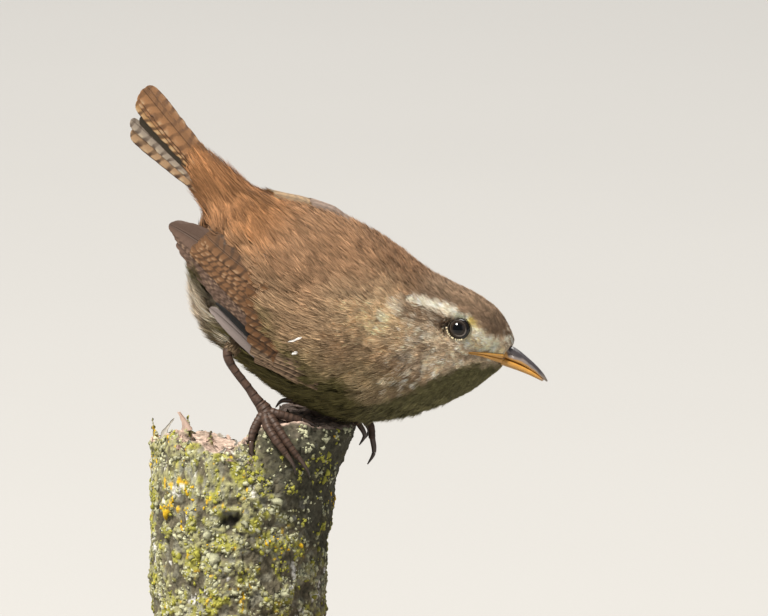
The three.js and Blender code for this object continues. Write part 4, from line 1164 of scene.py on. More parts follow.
def barred(name, period, dark, notch, inner, under, slope, thin_bar, plain_tip=0.0):
    """Dark bars, one to each `period` millimetres, with pale notches between them on the outer edge."""
    made = Finish(name, Roughness=0.5, Specular_IOR_Level=0.16)
    chart = made.add("UVMap", uv_map="vane")
    split = made.add("SeparateXYZ", {0: chart}).node.outputs
    across = made.sum("MULTIPLY_ADD", split[0], 2.0, -1.0)
    out = made.sum("ABSOLUTE", across)
    away = made.times(split[1], VANE_MAP_REACH)
    strength = made.paint("ground", "Alpha")

    # The wave of bars slants along the barbs and fades towards the shaft.
    slant = made.sum("MULTIPLY_ADD", out, slope, made.noise(420.0, detail=2))
    phase = made.sum("ADD", made.sum("DIVIDE", away, period), slant)
    wave = made.sum("SINE", made.times(phase, 2 * pi))
    bar = made.spread(wave, thin_bar - BAR_BELOW, thin_bar + BAR_ABOVE)
    bar = made.times(bar, strength, made.spread(out, 0.35, 0.85, inner, 1.0))
    if plain_tip:
        bar = made.times(bar, made.spread(away, plain_tip * 0.6, plain_tip * 1.4))

    # Pale notches lie between the bars, and the strongest barred feathers have a pale fringe.
    edge = made.times(made.spread(across, 0.55, 0.9), made.spread(made.noise(500.0, detail=2), 0.35, 0.65))
    pale = made.times(edge, strength, made.spread(wave, 0.1, -0.5))
    fringe = made.times(made.spread(strength, 0.9, 0.97), made.spread(across, 0.68, 0.86))

    # The ground is streaked along the barbs. Painted shade darkens it where the next feather lies over it, and
    # painted light brightens its own edge a little.
    streaks = made.noise(1.0, made.add("Mapping", {"Vector": chart, "Scale": (9, 900, 1)}), 2.0)
    ground = made.mix(0.3, made.paint("ground"), streaks, "OVERLAY")
    depth = made.spread(across, -0.3, 0.7, 1 - under, 1.12)
    ground = made.mix(1.0, ground, made.add("CombineXYZ", {0: depth, 1: depth, 2: depth}), "MULTIPLY")
    ground = made.mix(made.times(pale, 0.45), ground, (*notch, 1))
    ground = made.mix(bar, ground, (*dark, 1))
    ground = made.mix(made.times(fringe, 0.55), ground, (*notch, 1))
    # A dark line runs along the shaft, and a painted shadow line along the rim, where each feather's edge meets the
    # next.
    shaft = made.spread(out, 0.08, 0.02)
    line = made.times(made.sum("MAXIMUM", shaft, made.spread(out, 0.93, 0.98)), 0.5)
    made.colour(made.mix(line, ground, (*dark, 1)))
    return made.relief(made.sum("ADD", streaks, made.times(shaft, 2.0)), 0.00006, 0.7)


wing_finish = barred(
    "barred_wing", period=1.5, dark=(0.036, 0.022, 0.014), notch=(0.45, 0.31, 0.19),
    inner=0.7, under=0.3, slope=0.45, thin_bar=0.3, plain_tip=2.0,
)
tail_finish = barred(
    "barred_tail", period=2.1, dark=(0.045, 0.026, 0.018), notch=(0.62, 0.5, 0.32),
    inner=0.6, under=0.15, slope=0.28, thin_bar=0.3,
)

# %% [markdown]
# ## The folded wing
# A folded wing's rows overlap like roof tiles: primaries lowest, then secondaries, tertials, and the coverts over
# their roots. Placing fifty feathers one by one would take long and look uneven. So each row below is given by its
# first and last feather, and the feathers between are spread evenly and then stirred a little.

# %% Rows of the wing
WING_BROWN, WING_RUFOUS, WING_PLAIN = (0.125, 0.064, 0.031), (0.122, 0.059, 0.026), (0.1, 0.064, 0.048)
WING_DARK, SLIT_SHADOW, LOOSE_GREY = (0.16, 0.105, 0.066), (0.012, 0.012, 0.012), (0.26, 0.215, 0.2)
WING_ROWS = {
    # count, first root and tip, last root and tip, half widths, lifts, bend, ground, bar strength
    "primaries": (
        9, (-5.5, -11.4), (-20.4, -5.7), (-8.5, -7), (-34.7, 2.0),
        (0.85, 1.4), (0, 0.35), -1.0, WING_PLAIN, 0.6,
    ),
    "tip": (
        2, (-20, 1.4), (-35.9, 2.4), (-17, 2.6), (-35.4, 2.9),
        (2.3, 2.3), (0.42, 0.36), -0.5, WING_PLAIN, 0.1,
    ),
    "secondaries": (
        7, (-6.5, -7.4), (-30.0, 0.6), (-9, 0.5), (-28.6, 4.4),
        (1.1, 1.6), (0.5, 0.85), -0.8, WING_BROWN, 0.75,
    ),
    "tertials": (
        3, (-9.5, 2.0), (-27.8, 4.2), (-9, 4.0), (-22.5, 4.9),
        (1.7, 1.8), (0.95, 0.7), 0.4, WING_BROWN, 0.85,
    ),
    "greater_coverts": (
        9, (-3, -9.6), (-13.8, -7.8), (-7, 4), (-19, 4.8),
        (1.1, 1.5), (0.75, 1.15), -0.3, WING_RUFOUS, 0.85,
    ),
    "primary_coverts": (
        6, (-2, -12.2), (-11, -12.0), (-2, -10.4), (-12.6, -9.6),
        (0.7, 0.9), (0.3, 0.7), -0.5, WING_DARK, 1.0,
    ),
    "alula": (
        4, (1.6, -11.4), (-7.0, -11.0), (1.2, -8.6), (-7.6, -8.6),
        (0.75, 0.8), (0.9, 1.2), -0.5, WING_DARK, 1.0,
    ),
    "median_coverts": (
        7, (1, -9.8), (-8.4, -9.0), (-4, 3), (-12.5, 3.8),
        (1.3, 1.6), (0.9, 1.1), -0.2, WING_RUFOUS, 0.7,
    ),
}
ROW_TAPERS = {"primaries": 0.35, "tip": 0.4}
LOOSE_VANES = [  # root, tip, half width, lift, bend, ground, taper
    ((-7.6, -11.7), (-22.4, -7.0), 1.8, 0.25, -0.6, LOOSE_GREY, 0.5),
    # The near-black vane below is painted shadow in the slit between the loose grey feather and the wing.
    ((-8.0, -10.4), (-21.6, -5.5), 0.6, 0.45, -0.5, SLIT_SHADOW, 0.6),
]
CREST_ROWS = {
    # count, first root and tip, last root and tip as (s, y), half widths, lifts, ground
    "tertials": (
        4, (-9, -0.6), (-21.5, -0.8), (-10, 3.6), (-24.5, 4.0), (1.3, 1.6), (-0.35, 0.0), (0.23, 0.15, 0.075),
    ),
    "coverts": (
        5, (-5, -0.2), (-14.5, -0.5), (-6, 4.0), (-17.0, 4.8), (1.1, 1.4), (-0.25, 0.1), (0.19, 0.13, 0.095),
    ),
}
CREST_BARS = 0.45
LONGEST_PRIMARY, LONGEST_MORE, FAR_WING_SHORTER = 0.6, 2.4, 3.5
EDGE_OUT, CAMBER, SHAFT_RISE, SHAFT_HALF = 0.1, 0.06, 0.05, 0.03


def wing_vane(vanes, side, root, tip, width, lift, bend, ground, bars, taper=0.0):
    run = np.array(tip) - root
    length = float(np.hypot(*run))
    along, across, t = vane_plan(length, width, taper=taper)
    sway = bend * 4 * (along / length) * (1 - along / length) + across
    normal_way = np.array([-run[1], run[0]]) / length
    s = root[0] + run[0] * along / length + normal_way[0] * sway
    h = root[1] + run[1] * along / length + normal_way[1] * sway
    arch = CAMBER * (1 - VANE_ACROSS**2) + EDGE_OUT * VANE_ACROSS
    ridge = SHAFT_RISE * (np.abs(VANE_ACROSS) < SHAFT_HALF)
    rooted = 0.3 + 0.7 * np.minimum(t[:, None] / 0.5, 1)
    top, up = on_wing(side, s, h, 0.25 + lift * rooted + arch + ridge + 0 * s)
    vanes.add(top, up, along, length, ground, bars)


# %% [markdown]
# ## Feathers over the crest
# The far wing is carried a little higher, so some of its feathers lie over the crest of the back. They can't use
# the side envelope. So the height of the back is measured from above, and these few feathers are laid on it.

# %% The back from above
back_s, back_y = np.arange(-32, 8.0), np.arange(-8, 9.0)
BACK_ABOVE, BACK_USUAL = 50, 10.0
outer_tree = form_tree(form_points)
back_level = np.full((len(back_s), len(back_y)), BACK_USUAL)
for i, j in np.ndindex(back_level.shape):
    hit = outer_tree.ray_cast(Vector(on_bird(back_s[i], BACK_ABOVE, back_y[j])), Vector(-DORSAL))[0]
    if hit:
        back_level[i, j] = bird_axes(np.array(hit))[1]
print("the back's highest place, mm over the middle:", back_level.max().round(1))


def back_vane(vanes, root, tip, width, lift, ground):
    """A feather of the far wing that lies over the back's crest."""
    run = np.array(tip) - root
    length = float(np.hypot(*run))
    along, across, t = vane_plan(length, width)
    s = root[0] + run[0] * along / length - run[1] / length * across
    y = root[1] + run[1] * along / length + run[0] / length * -across
    level = between(back_level, s - back_s[0], y - back_y[0])
    level = level + (lift + 1.1) * np.minimum(t[:, None] / 0.6, 1) - 1.0 + CAMBER * (1 - VANE_ACROSS**2)
    level = level + 0.3 * np.clip(y + 0.3, -3, 1.6)
    top = on_bird(s, level, y)
    vanes.add(top, np.broadcast_to(DORSAL, top.shape), along, length, ground, CREST_BARS)


# %% Both wings
def folded_wing(side):
    vanes = VaneSet()
    for row, (count, root0, tip0, root1, tip1, widths, lifts, bend, ground, bars) in WING_ROWS.items():
        for i in range(count):
            share = i / (count - 1)
            root, tip = blend(root0, root1, share), blend(tip0, tip1, share)
            if row == "primaries":
                tip[0] -= LONGEST_MORE * np.exp(-(((share - LONGEST_PRIMARY) / 0.3) ** 2))
            tip = tip + draw.normal(0, 0.18, 2)
            tip[0] += FAR_WING_SHORTER * (side == LEFT) * soft_step(-tip[0], 26, 34)
            width, lift = part_way(widths, share), part_way(lifts, share)
            bent = bend + draw.normal(0, 0.08)
            wing_vane(vanes, side, root, tip, width, lift, bent, ground, bars, ROW_TAPERS.get(row, 0.0))
    for root, tip, width, lift, bend, ground, taper in LOOSE_VANES:
        wing_vane(vanes, side, root, tip, width, lift, bend, ground, 0.0, taper)
    if side == LEFT:
        for count, root0, tip0, root1, tip1, widths, lifts, ground in CREST_ROWS.values():
            for share in np.linspace(1, 0, count):
                tip = blend(tip0, tip1, share) + draw.normal(0, 0.2, 2)
                width, lift = part_way(widths, share), part_way(lifts, 1 - share)
                back_vane(vanes, blend(root0, root1, share), tip, width, lift, ground)
    name = SIDE_NAMES[side]
    return vanes.piece(f"wing_{name}_feathers", wing_finish, "plumage_rufous", replaces=(f"wing_{name}",))


for side in (RIGHT, LEFT):
    folded_wing(side)

# %% [markdown]
# ## The cocked tail
# Twelve tail feathers fan out from under the coverts. The middle pair lies on top and each pair outside it a
# little lower and shorter, so the near edge shows steps with pale notches. They are the same vanes as on the wing,
# each turned a few degrees about the tail's root, which is how a tail opens.

# %% Tail feathers
TAIL_LENGTH, TAIL_HALF, TAIL_START = 30.3, 2.15, 6.0
TAIL_TOP, TAIL_STEP = 1.0, 0.32
TAIL_FAN = {RIGHT: (1.2, 3.0, 5.2, 9.4, 13.4, 17.2), LEFT: (-1.5, -2.6, -3.6, -4.6, -5.4, -6.2)}
TAIL_SHORTER = (0, 0.3, 0.9, 3.4, 2.4, 3.6)
TAIL_WIDE = (1.15, 1.05, 1.0, 0.7, 0.72, 0.85)
TAIL_BARS = (0.6, 0.6, 0.75, 0.0, 0.75, 0.9)
# The fourth feather out on each side is painted near black and unbarred: a painted shadow in the gap of the fan.
TAIL_GROUND = (
    (0.225, 0.115, 0.054), (0.225, 0.115, 0.054), (0.27, 0.155, 0.068),
    (0.03, 0.024, 0.016), (0.23, 0.19, 0.15), (0.29, 0.185, 0.105),
)
TAIL_THICK, TAIL_ARCH, TAIL_DROOP = 0.14, 0.3, 0.012

vanes = VaneSet()
for side in (LEFT, RIGHT):
    for k in reversed(range(len(TAIL_WIDE))):
        length = TAIL_LENGTH - TAIL_SHORTER[k] - TAIL_START
        along, across, t = vane_plan(length, TAIL_HALF * TAIL_WIDE[k], 0.9)
        turn = radians(TAIL_FAN[side][k])
        outward = across * (1 if side == RIGHT else -1)
        start = TAIL_START + along
        ridge = SHAFT_RISE * (np.abs(VANE_ACROSS) < SHAFT_HALF)
        arch = TAIL_ARCH * (1 - VANE_ACROSS**2) + ridge - TAIL_DROOP * along
        level = TAIL_TOP - TAIL_STEP * k - (TAIL_STEP / 3 if side == LEFT else 0) + arch
        top = on_tail(start * cos(turn) - outward * sin(turn), start * sin(turn) + outward * cos(turn), level)
        up = np.broadcast_to(TAIL_UP, top.shape)
        vanes.add(top, up, along, length, TAIL_GROUND[k], TAIL_BARS[k], TAIL_THICK)
vanes.piece("tail_feathers", tail_finish, "plumage_rufous", replaces=("tail",))

# %% [markdown]
# ## Smooth copies of faceted pieces
# The bill and the branch already have the right shape, only coarse. Subdividing would keep their long thin faces.
# A voxel remesh wraps such a block in a fine, even mesh, and smoothing then takes the facets away.


# %% Fine copy
def fine_copy(names, voxel, rounds, swell=0.0):
    """Points in millimetres, quads and normals of one fine mesh round the named blocks."""
    points, faces = node_mesh(*names)
    mesh = bpy.data.meshes.new("rough")
    mesh.from_pydata([p * MM for p in points], [], faces)
    rough = bpy.data.objects.new("rough", mesh)
    studio.collection.objects.link(rough)
    wrap = rough.modifiers.new("wrap", "REMESH")
    wrap.mode, wrap.voxel_size = "VOXEL", voxel * MM
    calm = rough.modifiers.new("calm", "SMOOTH")
    calm.factor, calm.iterations = 0.5, rounds
    made = rough.evaluated_get(bpy.context.evaluated_depsgraph_get()).to_mesh()
    points = np.empty(len(made.vertices) * 3, np.float32)
    made.vertices.foreach_get("co", points)
    normals = np.empty(len(made.vertices) * 3, np.float32)
    made.vertices.foreach_get("normal", normals)
    quads = np.empty(len(made.loops), np.int32)
    made.loops.foreach_get("vertex_index", quads)
    points, normals = points.reshape(-1, 3) / MM, normals.reshape(-1, 3)
    rough.to_mesh_clear()
    bpy.data.objects.remove(rough)
    bpy.data.meshes.remove(mesh)
    return points.astype(float) + normals * swell, quads.reshape(-1, 4), normals


# %% [markdown]
# ## The bill
# A wren's bill is slim and gently curved. The upper half is slate-brown on its ridge and pale to orange along
# the cutting edge, and the lower half is orange-yellow. Horn is hard and slightly glossy, with fine streaks. Each
# half stays a piece of its own, so the mouth line is a real gap and not a painted one.

# %% Bill
HORN_DARK, HORN_GREY, HORN_PALE = (0.045, 0.038, 0.04), (0.2, 0.17, 0.16), (0.42, 0.3, 0.17)
HORN_ORANGE, HORN_TIP = (0.5, 0.25, 0.05), (0.42, 0.36, 0.32)
KEEP_HEIGHT = [(22.6, 0.3), (25.5, 0.62), (28.4, 1.0)]
KEEP_WIDTH = [(22.6, 0.9), (24.5, 0.868), (25.5, 0.868), (26.5, 0.888), (27.5, 0.912), (28.5, 0.95), (30, 1.0)]
BILL_HEIGHT = [(22, 1.0), (28, 1.75), (32, 1.45), (35, 0.9), (37.4, 0.25)]
BILL_VOXEL, BILL_CALM, BILL_SWELL = 0.11, 8, 0.14


def gape_taper(points):
    """Thins the bill towards the corner of the mouth, where it slips under the feathers."""
    s, h, y = bird_axes(points)
    mouth = table(s, MOUTH_LINE)
    return on_bird(s, mouth + (h - mouth) * table(s, KEEP_HEIGHT), y * table(s, KEEP_WIDTH))


def bill_colours(points, upper):
    s, h, y = bird_axes(points)
    above = h - table(s, MOUTH_LINE)
    if upper:
        share = above / table(s, BILL_HEIGHT) + 0.08 * ripple(points, 1.2, 3)
        share = share - 0.5 * soft_drop(s, 28.2, 29.6)
        colour = blend(HORN_ORANGE, HORN_GREY, soft_step(share, 0.3, 0.5)[:, None])
        colour = blend(colour, HORN_DARK, soft_step(share, 0.62, 0.85)[:, None])
    else:
        colour = blend(HORN_ORANGE, HORN_PALE, soft_step(-above, 0.7, 1.3)[:, None] * 0.4)
    end = soft_step(s, 35.4, 37.0)[:, None] * 0.7
    return colour * (1 - end) + np.array(HORN_TIP) * end * (0.6 if upper else 0.9)


horn = Finish("bill_horn", Roughness=0.32, Specular_IOR_Level=0.5, Coat_Weight=0.25, Coat_Roughness=0.25)
horn.grained("horn", horn.stretched(1500.0, (0.12, 1, 1), (0, LEAN, 0)), 0.25, 0.00004, 0.5)
for name, slot in (("bill_upper", "bill_dark"), ("bill_lower", "bill_yellow")):
    points, faces, _ = fine_copy([name], BILL_VOXEL, BILL_CALM, BILL_SWELL)
    points = gape_taper(points)
    piece(
        name + "_horn", points, faces, horn, slot,
        paint={"horn": bill_colours(points, name == "bill_upper")}, replaces=(name,),
    )

# %% [markdown]
# ## The eyes
# The eye is a glossy ball, nearly black, whose brown iris only shows where light strikes it. A dark lid closes
# round it, with an arc of tiny pale feathers below. A ball sunk into the head would do from afar. The lid is what
# gives the eye its look, so it is a ring of its own with a rolled edge. The ball keeps the size of the plain one.


# %% Eye frames
def form_point(s0, h0, side):
    """Number of the form's point that is nearest to a place on one side of the bird."""
    s, h, y = bird_axes(form_points)
    return np.argmin(np.hypot(s - s0, h - h0) + 100 * (y * side < 0))


def eye_frame(side):
    """The eye's middle, its outward direction, and two directions across it."""
    low, high = (np.array(corner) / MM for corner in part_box("eye_right" if side == RIGHT else "eye_left"))
    middle = (low + high) / 2 + EYE["ahead"] * FORWARD - EYE["lower"] * DORSAL
    outward = unit(form_normals.reshape(-1, 3)[form_point(EYE["s"], EYE["h"], side)])
    ahead = unit(FORWARD - FORWARD @ outward * outward)
    return middle, outward, ahead, -side * np.cross(outward, ahead)


def dome(rings, around):
    """Places over a ball of radius 1, from its front pole to its back."""
    polar = np.linspace(0, pi, rings)[:, None]
    angle = np.linspace(0, 2 * pi, around, endpoint=False)
    return np.sin(polar) * np.cos(angle), np.sin(polar) * np.sin(angle), np.cos(polar) + 0 * angle


# %% Eyes and lids
eye_finish = Finish("wet_eye", Roughness=0.05, Specular_IOR_Level=0.35)
eye_finish.colour(eye_finish.paint("eye"))
lid_finish = Finish("lid_skin", Roughness=0.6, Specular_IOR_Level=0.2)
lid_finish.colour(lid_finish.paint("lid")).relief(lid_finish.noise(5000.0), 0.00004, 0.6)
LID_PROFILE = np.array([  # out from the opening's edge, above the ball
    (0.03, -0.12), (-0.03, -0.02), (0.0, 0.05), (0.06, 0.07), (0.13, 0.04), (0.24, -0.08), (0.5, -0.38),
    (1.0, -0.95), (0.1, -1.0),
])
LID_STEPS, LID_EDGE, LID_MEETS = 160, 1.75, (4.0, 6.4)
BALL_GRID, BEAD_GRID = (40, 56), (7, 10)
EYE_BLACK, EYE_BROWN = (0.0015, 0.0015, 0.002), (0.016, 0.01, 0.006)
BEADS, BEAD_ARC, BEAD_OUT, BEAD_SIZE = 11, (radians(202), radians(316)), 0.8, (0.12, 0.18, 0.14)
LID_DARK, LID_GREY, BEAD_PALE = (0.03, 0.024, 0.019), (0.15, 0.125, 0.11), (0.8, 0.7, 0.46)


def over_ball(out):
    """Height over the ball's middle: the ball itself, then a gentle slope down into the plumage."""
    return np.sqrt(EYE["radius"] ** 2 - np.minimum(out, LID_EDGE) ** 2) - 0.5 * np.maximum(out - LID_EDGE, 0)


# %% The ball
def make_ball(side, name, middle, outward, ahead, upward):
    """A ball with a black pupil and a ring of brown, streaked iris."""
    x, y, z = dome(*BALL_GRID)
    ball = middle + EYE["radius"] * (z[..., None] * outward + x[..., None] * ahead + y[..., None] * upward)
    angle = np.degrees(np.arccos(np.clip(z, -1, 1)))
    iris = (soft_step(angle, 24, 30) * soft_drop(angle, 46, 56))[..., None]
    streak = 1 + 0.35 * np.sin(np.arctan2(y, x) * 37)[..., None]
    colour = np.array(EYE_BLACK) + iris * streak * np.array(EYE_BROWN)
    piece(
        f"eye_{name}_ball", ball.reshape(-1, 3), sheet_faces(*BALL_GRID, wrap=True)[:, ::side], eye_finish, "eye",
        paint={"eye": colour.reshape(-1, 3)}, replaces=(f"eye_{name}",),
    )


# %% The lid
def make_lid(side, name, middle, outward, ahead, upward):
    """A ring that rolls over the ball's edge, and the tiny feathers below it."""
    # The ring, from its rolled edge down into the plumage.
    around = np.linspace(0, 2 * pi, LID_STEPS, endpoint=False)
    out = opening(around) + LID_PROFILE[:, :1]
    rise = over_ball(out) + LID_PROFILE[:, 1:]
    spoke = np.cos(around)[:, None] * ahead + np.sin(around)[:, None] * upward
    lid = middle + rise[..., None] * outward + out[..., None] * spoke
    edge = soft_step(np.arange(len(LID_PROFILE)), *LID_MEETS)[:, None, None]
    grey = soft_step(np.cos(around + 0.55), 0.4, 0.9)[None, :, None]
    colour = blend(LID_DARK, LID_GREY, grey) * (1 - edge) + 0.6 * plumage(lid) * edge
    rows = len(LID_PROFILE)
    faces = sheet_faces(rows + 1, LID_STEPS, wrap=True)[:, ::side] % (rows * LID_STEPS)
    points, paint, all_faces = [lid.reshape(-1, 3)], [colour.reshape(-1, 3)], [faces]

    # The arc of tiny pale feathers, each a small bead.
    x, y, z = (value.ravel()[:, None] for value in dome(*BEAD_GRID))
    for turn in np.linspace(*BEAD_ARC, BEADS) + draw.normal(0, 0.025, BEADS):
        spoke = cos(turn) * ahead + sin(turn) * upward
        along = np.cross(outward, spoke)
        out = float(opening(turn)) + BEAD_OUT + draw.normal(0, 0.03)
        place = middle + out * spoke + (over_ball(out) + 0.36) * outward
        all_faces.append(sheet_faces(*BEAD_GRID, wrap=True)[:, ::side] + sum(map(len, points)))
        bead = BEAD_SIZE[0] * x * along + BEAD_SIZE[1] * y * spoke + BEAD_SIZE[2] * z * outward
        points.append(place + bead * draw.uniform(0.85, 1.15))
        paint.append(np.broadcast_to(np.array(BEAD_PALE) * draw.uniform(0.8, 1.1), bead.shape))
    piece(
        f"lid_{name}", np.concatenate(points), np.concatenate(all_faces), lid_finish, "plumage_buff",
        paint={"lid": np.clip(np.concatenate(paint), 0, 0.95)},
    )


# %% Both eyes
for side, name in SIDE_NAMES.items():
    axes = eye_frame(side)
    make_ball(side, name, *axes)
    make_lid(side, name, *axes)

# %% [markdown]
# ## Legs, toes and claws
# The shank is thin and covered in front with overlapping scutes, and each toe has scutes above and soft pads
# below. Scutes could be drawn with relief alone, but at the outline they must stand out. A tube along a smooth path
# takes this well: its radius steps up at each scute and swells at each joint.


# %% Limbs
PATH_FINE = 24
PLATE_RISE, GROOVE_SHARP, PAD_SWELL, PAD_SHORT = 0.1, 0.004, 0.28, 0.1


def smooth_path(points, steps):
    """A smooth run through the given points, evenly spaced."""
    points = np.array(points, float)
    ends = np.concatenate([[2 * points[0] - points[1]], points, [2 * points[-1] - points[-2]]])
    run = []
    for a, b, c, d in zip(ends[:-3], ends[1:-2], ends[2:-1], ends[3:]):
        t = np.linspace(0, 1, PATH_FINE, endpoint=False)[:, None]
        run.append(0.5 * (2 * b + (c - a) * t + (2 * a - 5 * b + 4 * c - d) * t**2 + (3 * b - a - 3 * c + d) * t**3))
    run = np.concatenate(run + [points[-1:]])
    gone = np.append(0, np.cumsum(np.linalg.norm(np.diff(run, axis=0), axis=1)))
    even = np.linspace(0, gone[-1], steps)
    return np.stack([np.interp(even, gone, run[:, k]) for k in range(3)], 1), even


# %% One scaled tube
def limb(points, radii, top, scutes=0.0, pads=(), squash=1.0, sides=18, per_mm=9.0):
    """Rings of a tube. `top` is the way its scutes face; scutes is their spacing; pads are where it swells below."""
    length = float(np.linalg.norm(np.diff(np.array(points), axis=0), axis=1).sum())
    path, gone = smooth_path(points, max(8, int(length * per_mm)))
    run = unit(np.gradient(path, axis=0))
    top = unit(np.array(top) - (run @ np.array(top))[:, None] * run)
    side = np.cross(run, top)
    share = gone / gone[-1]
    radius = np.interp(share, np.linspace(0, 1, len(radii)), radii)
    turn = np.linspace(0, 2 * pi, sides, endpoint=False)
    upper = np.clip(np.cos(turn) + 0.35, 0, 1)
    step = (gone / scutes) % 1 if scutes else 0 * gone
    plate = (PLATE_RISE * step**1.5 - PLATE_RISE / 2) * bool(scutes)
    pad = sum((np.exp(-(((share - at) / PAD_SHORT) ** 2)) for at in pads), 0 * share)
    fine = 0.02 * np.sin(gone * 9)[:, None] * np.sin(turn * 5)
    swelling = PAD_SWELL * pad[:, None] * np.clip(-np.cos(turn), 0, 1)
    r = radius[:, None] * (1 + plate[:, None] * upper + swelling + fine)
    close = np.sin(np.clip(np.minimum(gone, gone[-1] - gone) / (radius * 0.9), 0.05, 1) * pi / 2)
    r = r * close[:, None]
    sideways = squash * np.sin(turn)[:, None] * side[:, None]
    rings = path[:, None] + r[..., None] * (np.cos(turn)[:, None] * top[:, None] + sideways)
    grooves = sum(np.exp(-((step - at) ** 2) / GROOVE_SHARP) for at in (0.02, 1.0))
    mark = grooves[:, None] * upper * bool(scutes)
    return rings, mark, share


# %% Many tubes as one piece
class Tubes:
    """Collects tubes, closes their ends and turns them into one piece."""

    def __init__(self):
        self.points, self.faces, self.paint, self.total = [], [], [], 0

    def add(self, rings, colour):
        rows, sides = rings.shape[:2]
        caps = [rings[0].mean(0), rings[-1].mean(0)]
        points = np.concatenate([rings.reshape(-1, 3), caps])
        faces = sheet_faces(rows, sides, wrap=True)
        ring = np.arange(sides)
        after = np.roll(ring, -1)
        last = (rows - 1) * sides
        first_cap = stack(after, ring, rows * sides)
        end_cap = stack(last + ring, last + after, rows * sides + 1)
        halves = np.stack([faces[:, [0, 1, 2]], faces[:, [0, 2, 3]]], 1).reshape(-1, 3)
        self.faces.append(np.concatenate([halves, first_cap, end_cap]).astype(int) + self.total)
        self.points.append(points)
        self.paint.append(np.concatenate([colour.reshape(-1, 3), colour[[0, -1]].mean(1)]))
        self.total += len(points)

    def piece(self, name, finish, slot, replaces=()):
        return piece(
            name, np.concatenate(self.points), np.concatenate(self.faces), finish, slot,
            paint={"tone": np.clip(np.concatenate(self.paint), 0, 1)}, replaces=replaces,
        )


# %% Feet
LEGS = {
    RIGHT: {
        "knee": (-5.6, -5.6, 67.5), "heel": (-9.0, -8.4, 63.0), "ankle": (-1.9, -8.9, 52.9),
        "hind": [
            (-3.0, -10.2, 51.2), (-3.8, -11.2, 49.3), (-3.9, -11.9, 47.6), (-3.7, -12.5, 46.0), (-2.9, -12.3, 44.4),
        ],
        "inner": [(0.4, -9.1, 52.5), (2.6, -8.6, 51.9), (4.9, -8.0, 51.3), (6.6, -7.6, 50.4), (7.6, -7.4, 48.8)],
        "middle": [
            (0.2, -10.7, 50.9), (2.6, -11.7, 47.9), (4.9, -11.9, 44.9), (6.2, -11.8, 43.2), (6.7, -11.0, 41.2),
        ],
        "outer": [
            (-1.0, -11.3, 50.7), (0.9, -12.6, 48.2), (3.0, -13.0, 45.6), (4.1, -13.0, 43.9), (4.4, -12.4, 42.1),
        ],
    },
    LEFT: {
        "knee": (3.5, 7.0, 69.0), "heel": (-3.2, 7.6, 61.6), "ankle": (5.4, 7.2, 52.3),
        "hind": [(3.4, 7.5, 52.1), (1.2, 7.8, 52.4), (-0.8, 8.1, 52.5), (-2.6, 8.3, 52.3), (-3.9, 8.4, 51.0)],
        "inner": [(7.8, 5.6, 51.6), (10.6, 4.4, 50.9), (12.8, 4.1, 49.0), (13.5, 4.2, 47.2), (12.5, 4.3, 45.2)],
        "middle": [
            (8.4, 7.0, 51.6), (11.5, 7.0, 50.7), (13.9, 7.1, 48.8), (14.4, 7.2, 45.8), (14.6, 7.2, 43.6),
            (13.4, 7.2, 41.3),
        ],
        "outer": [(7.8, 8.6, 51.5), (10.2, 9.7, 50.8), (12.2, 10.2, 49.2), (13.0, 10.4, 47.3), (12.3, 10.4, 45.5)],
    },
}
TOES = ("hind", "inner", "middle", "outer")
TOE_TOPS = {  # the way each toe's scutes face
    RIGHT: [(-0.8, -0.5, 0.3), (0.2, -0.4, 1.0), (0.75, -0.6, 0.3), (0.75, -0.6, 0.3)],
    LEFT: [(0, 0, 1.0), (0.2, 0.0, 1.0), (0.2, 0.0, 1.0), (0.2, 0.0, 1.0)],
}
LEG_FRONT = np.array([0.75, -0.45, 0.4])
SHANK_RADII, ANKLE_RADII = [1.7, 0.95, 0.74, 0.76, 1.15], [1.0, 1.15, 1.35, 1.45, 1.15]
TOE_RADII, CLAW_RADII, TOE_JOINTS = [1.0, 0.8, 0.7, 0.54], [0.56, 0.5, 0.33, 0.1], np.linspace(0.35, 0.97, 3)
SHANK_SCUTE, ANKLE_SCUTE, TOE_SCUTE = 1.7, 1.0, 0.85
# Painted shade: the legs and their grooves are painted darker than a wren's pale brown legs, as a foot in the body's
# shadow.
SHADED_SCUTE_TONE, GROOVE_TONE = (0.058, 0.034, 0.024), (0.026, 0.016, 0.012)
CLAW_BASE, CLAW_END = (0.07, 0.042, 0.03), (0.03, 0.02, 0.016)


def scaled(mark, share):
    tone = np.array(SHADED_SCUTE_TONE) * (1 + 0.25 * np.sin(share * 40)[:, None, None])
    return blend(tone, GROOVE_TONE, mark[..., None])


leg_finish = Finish("leg_scales", Roughness=0.52, Specular_IOR_Level=0.25)
leg_finish.grained("tone", leg_finish.noise(4200.0), 0.3, 0.00005, 0.6)
claw_finish = Finish("claw_horn", Roughness=0.28, Specular_IOR_Level=0.55)
claw_finish.colour(claw_finish.paint("tone")).relief(claw_finish.noise(3000.0), 0.00002, 0.4)

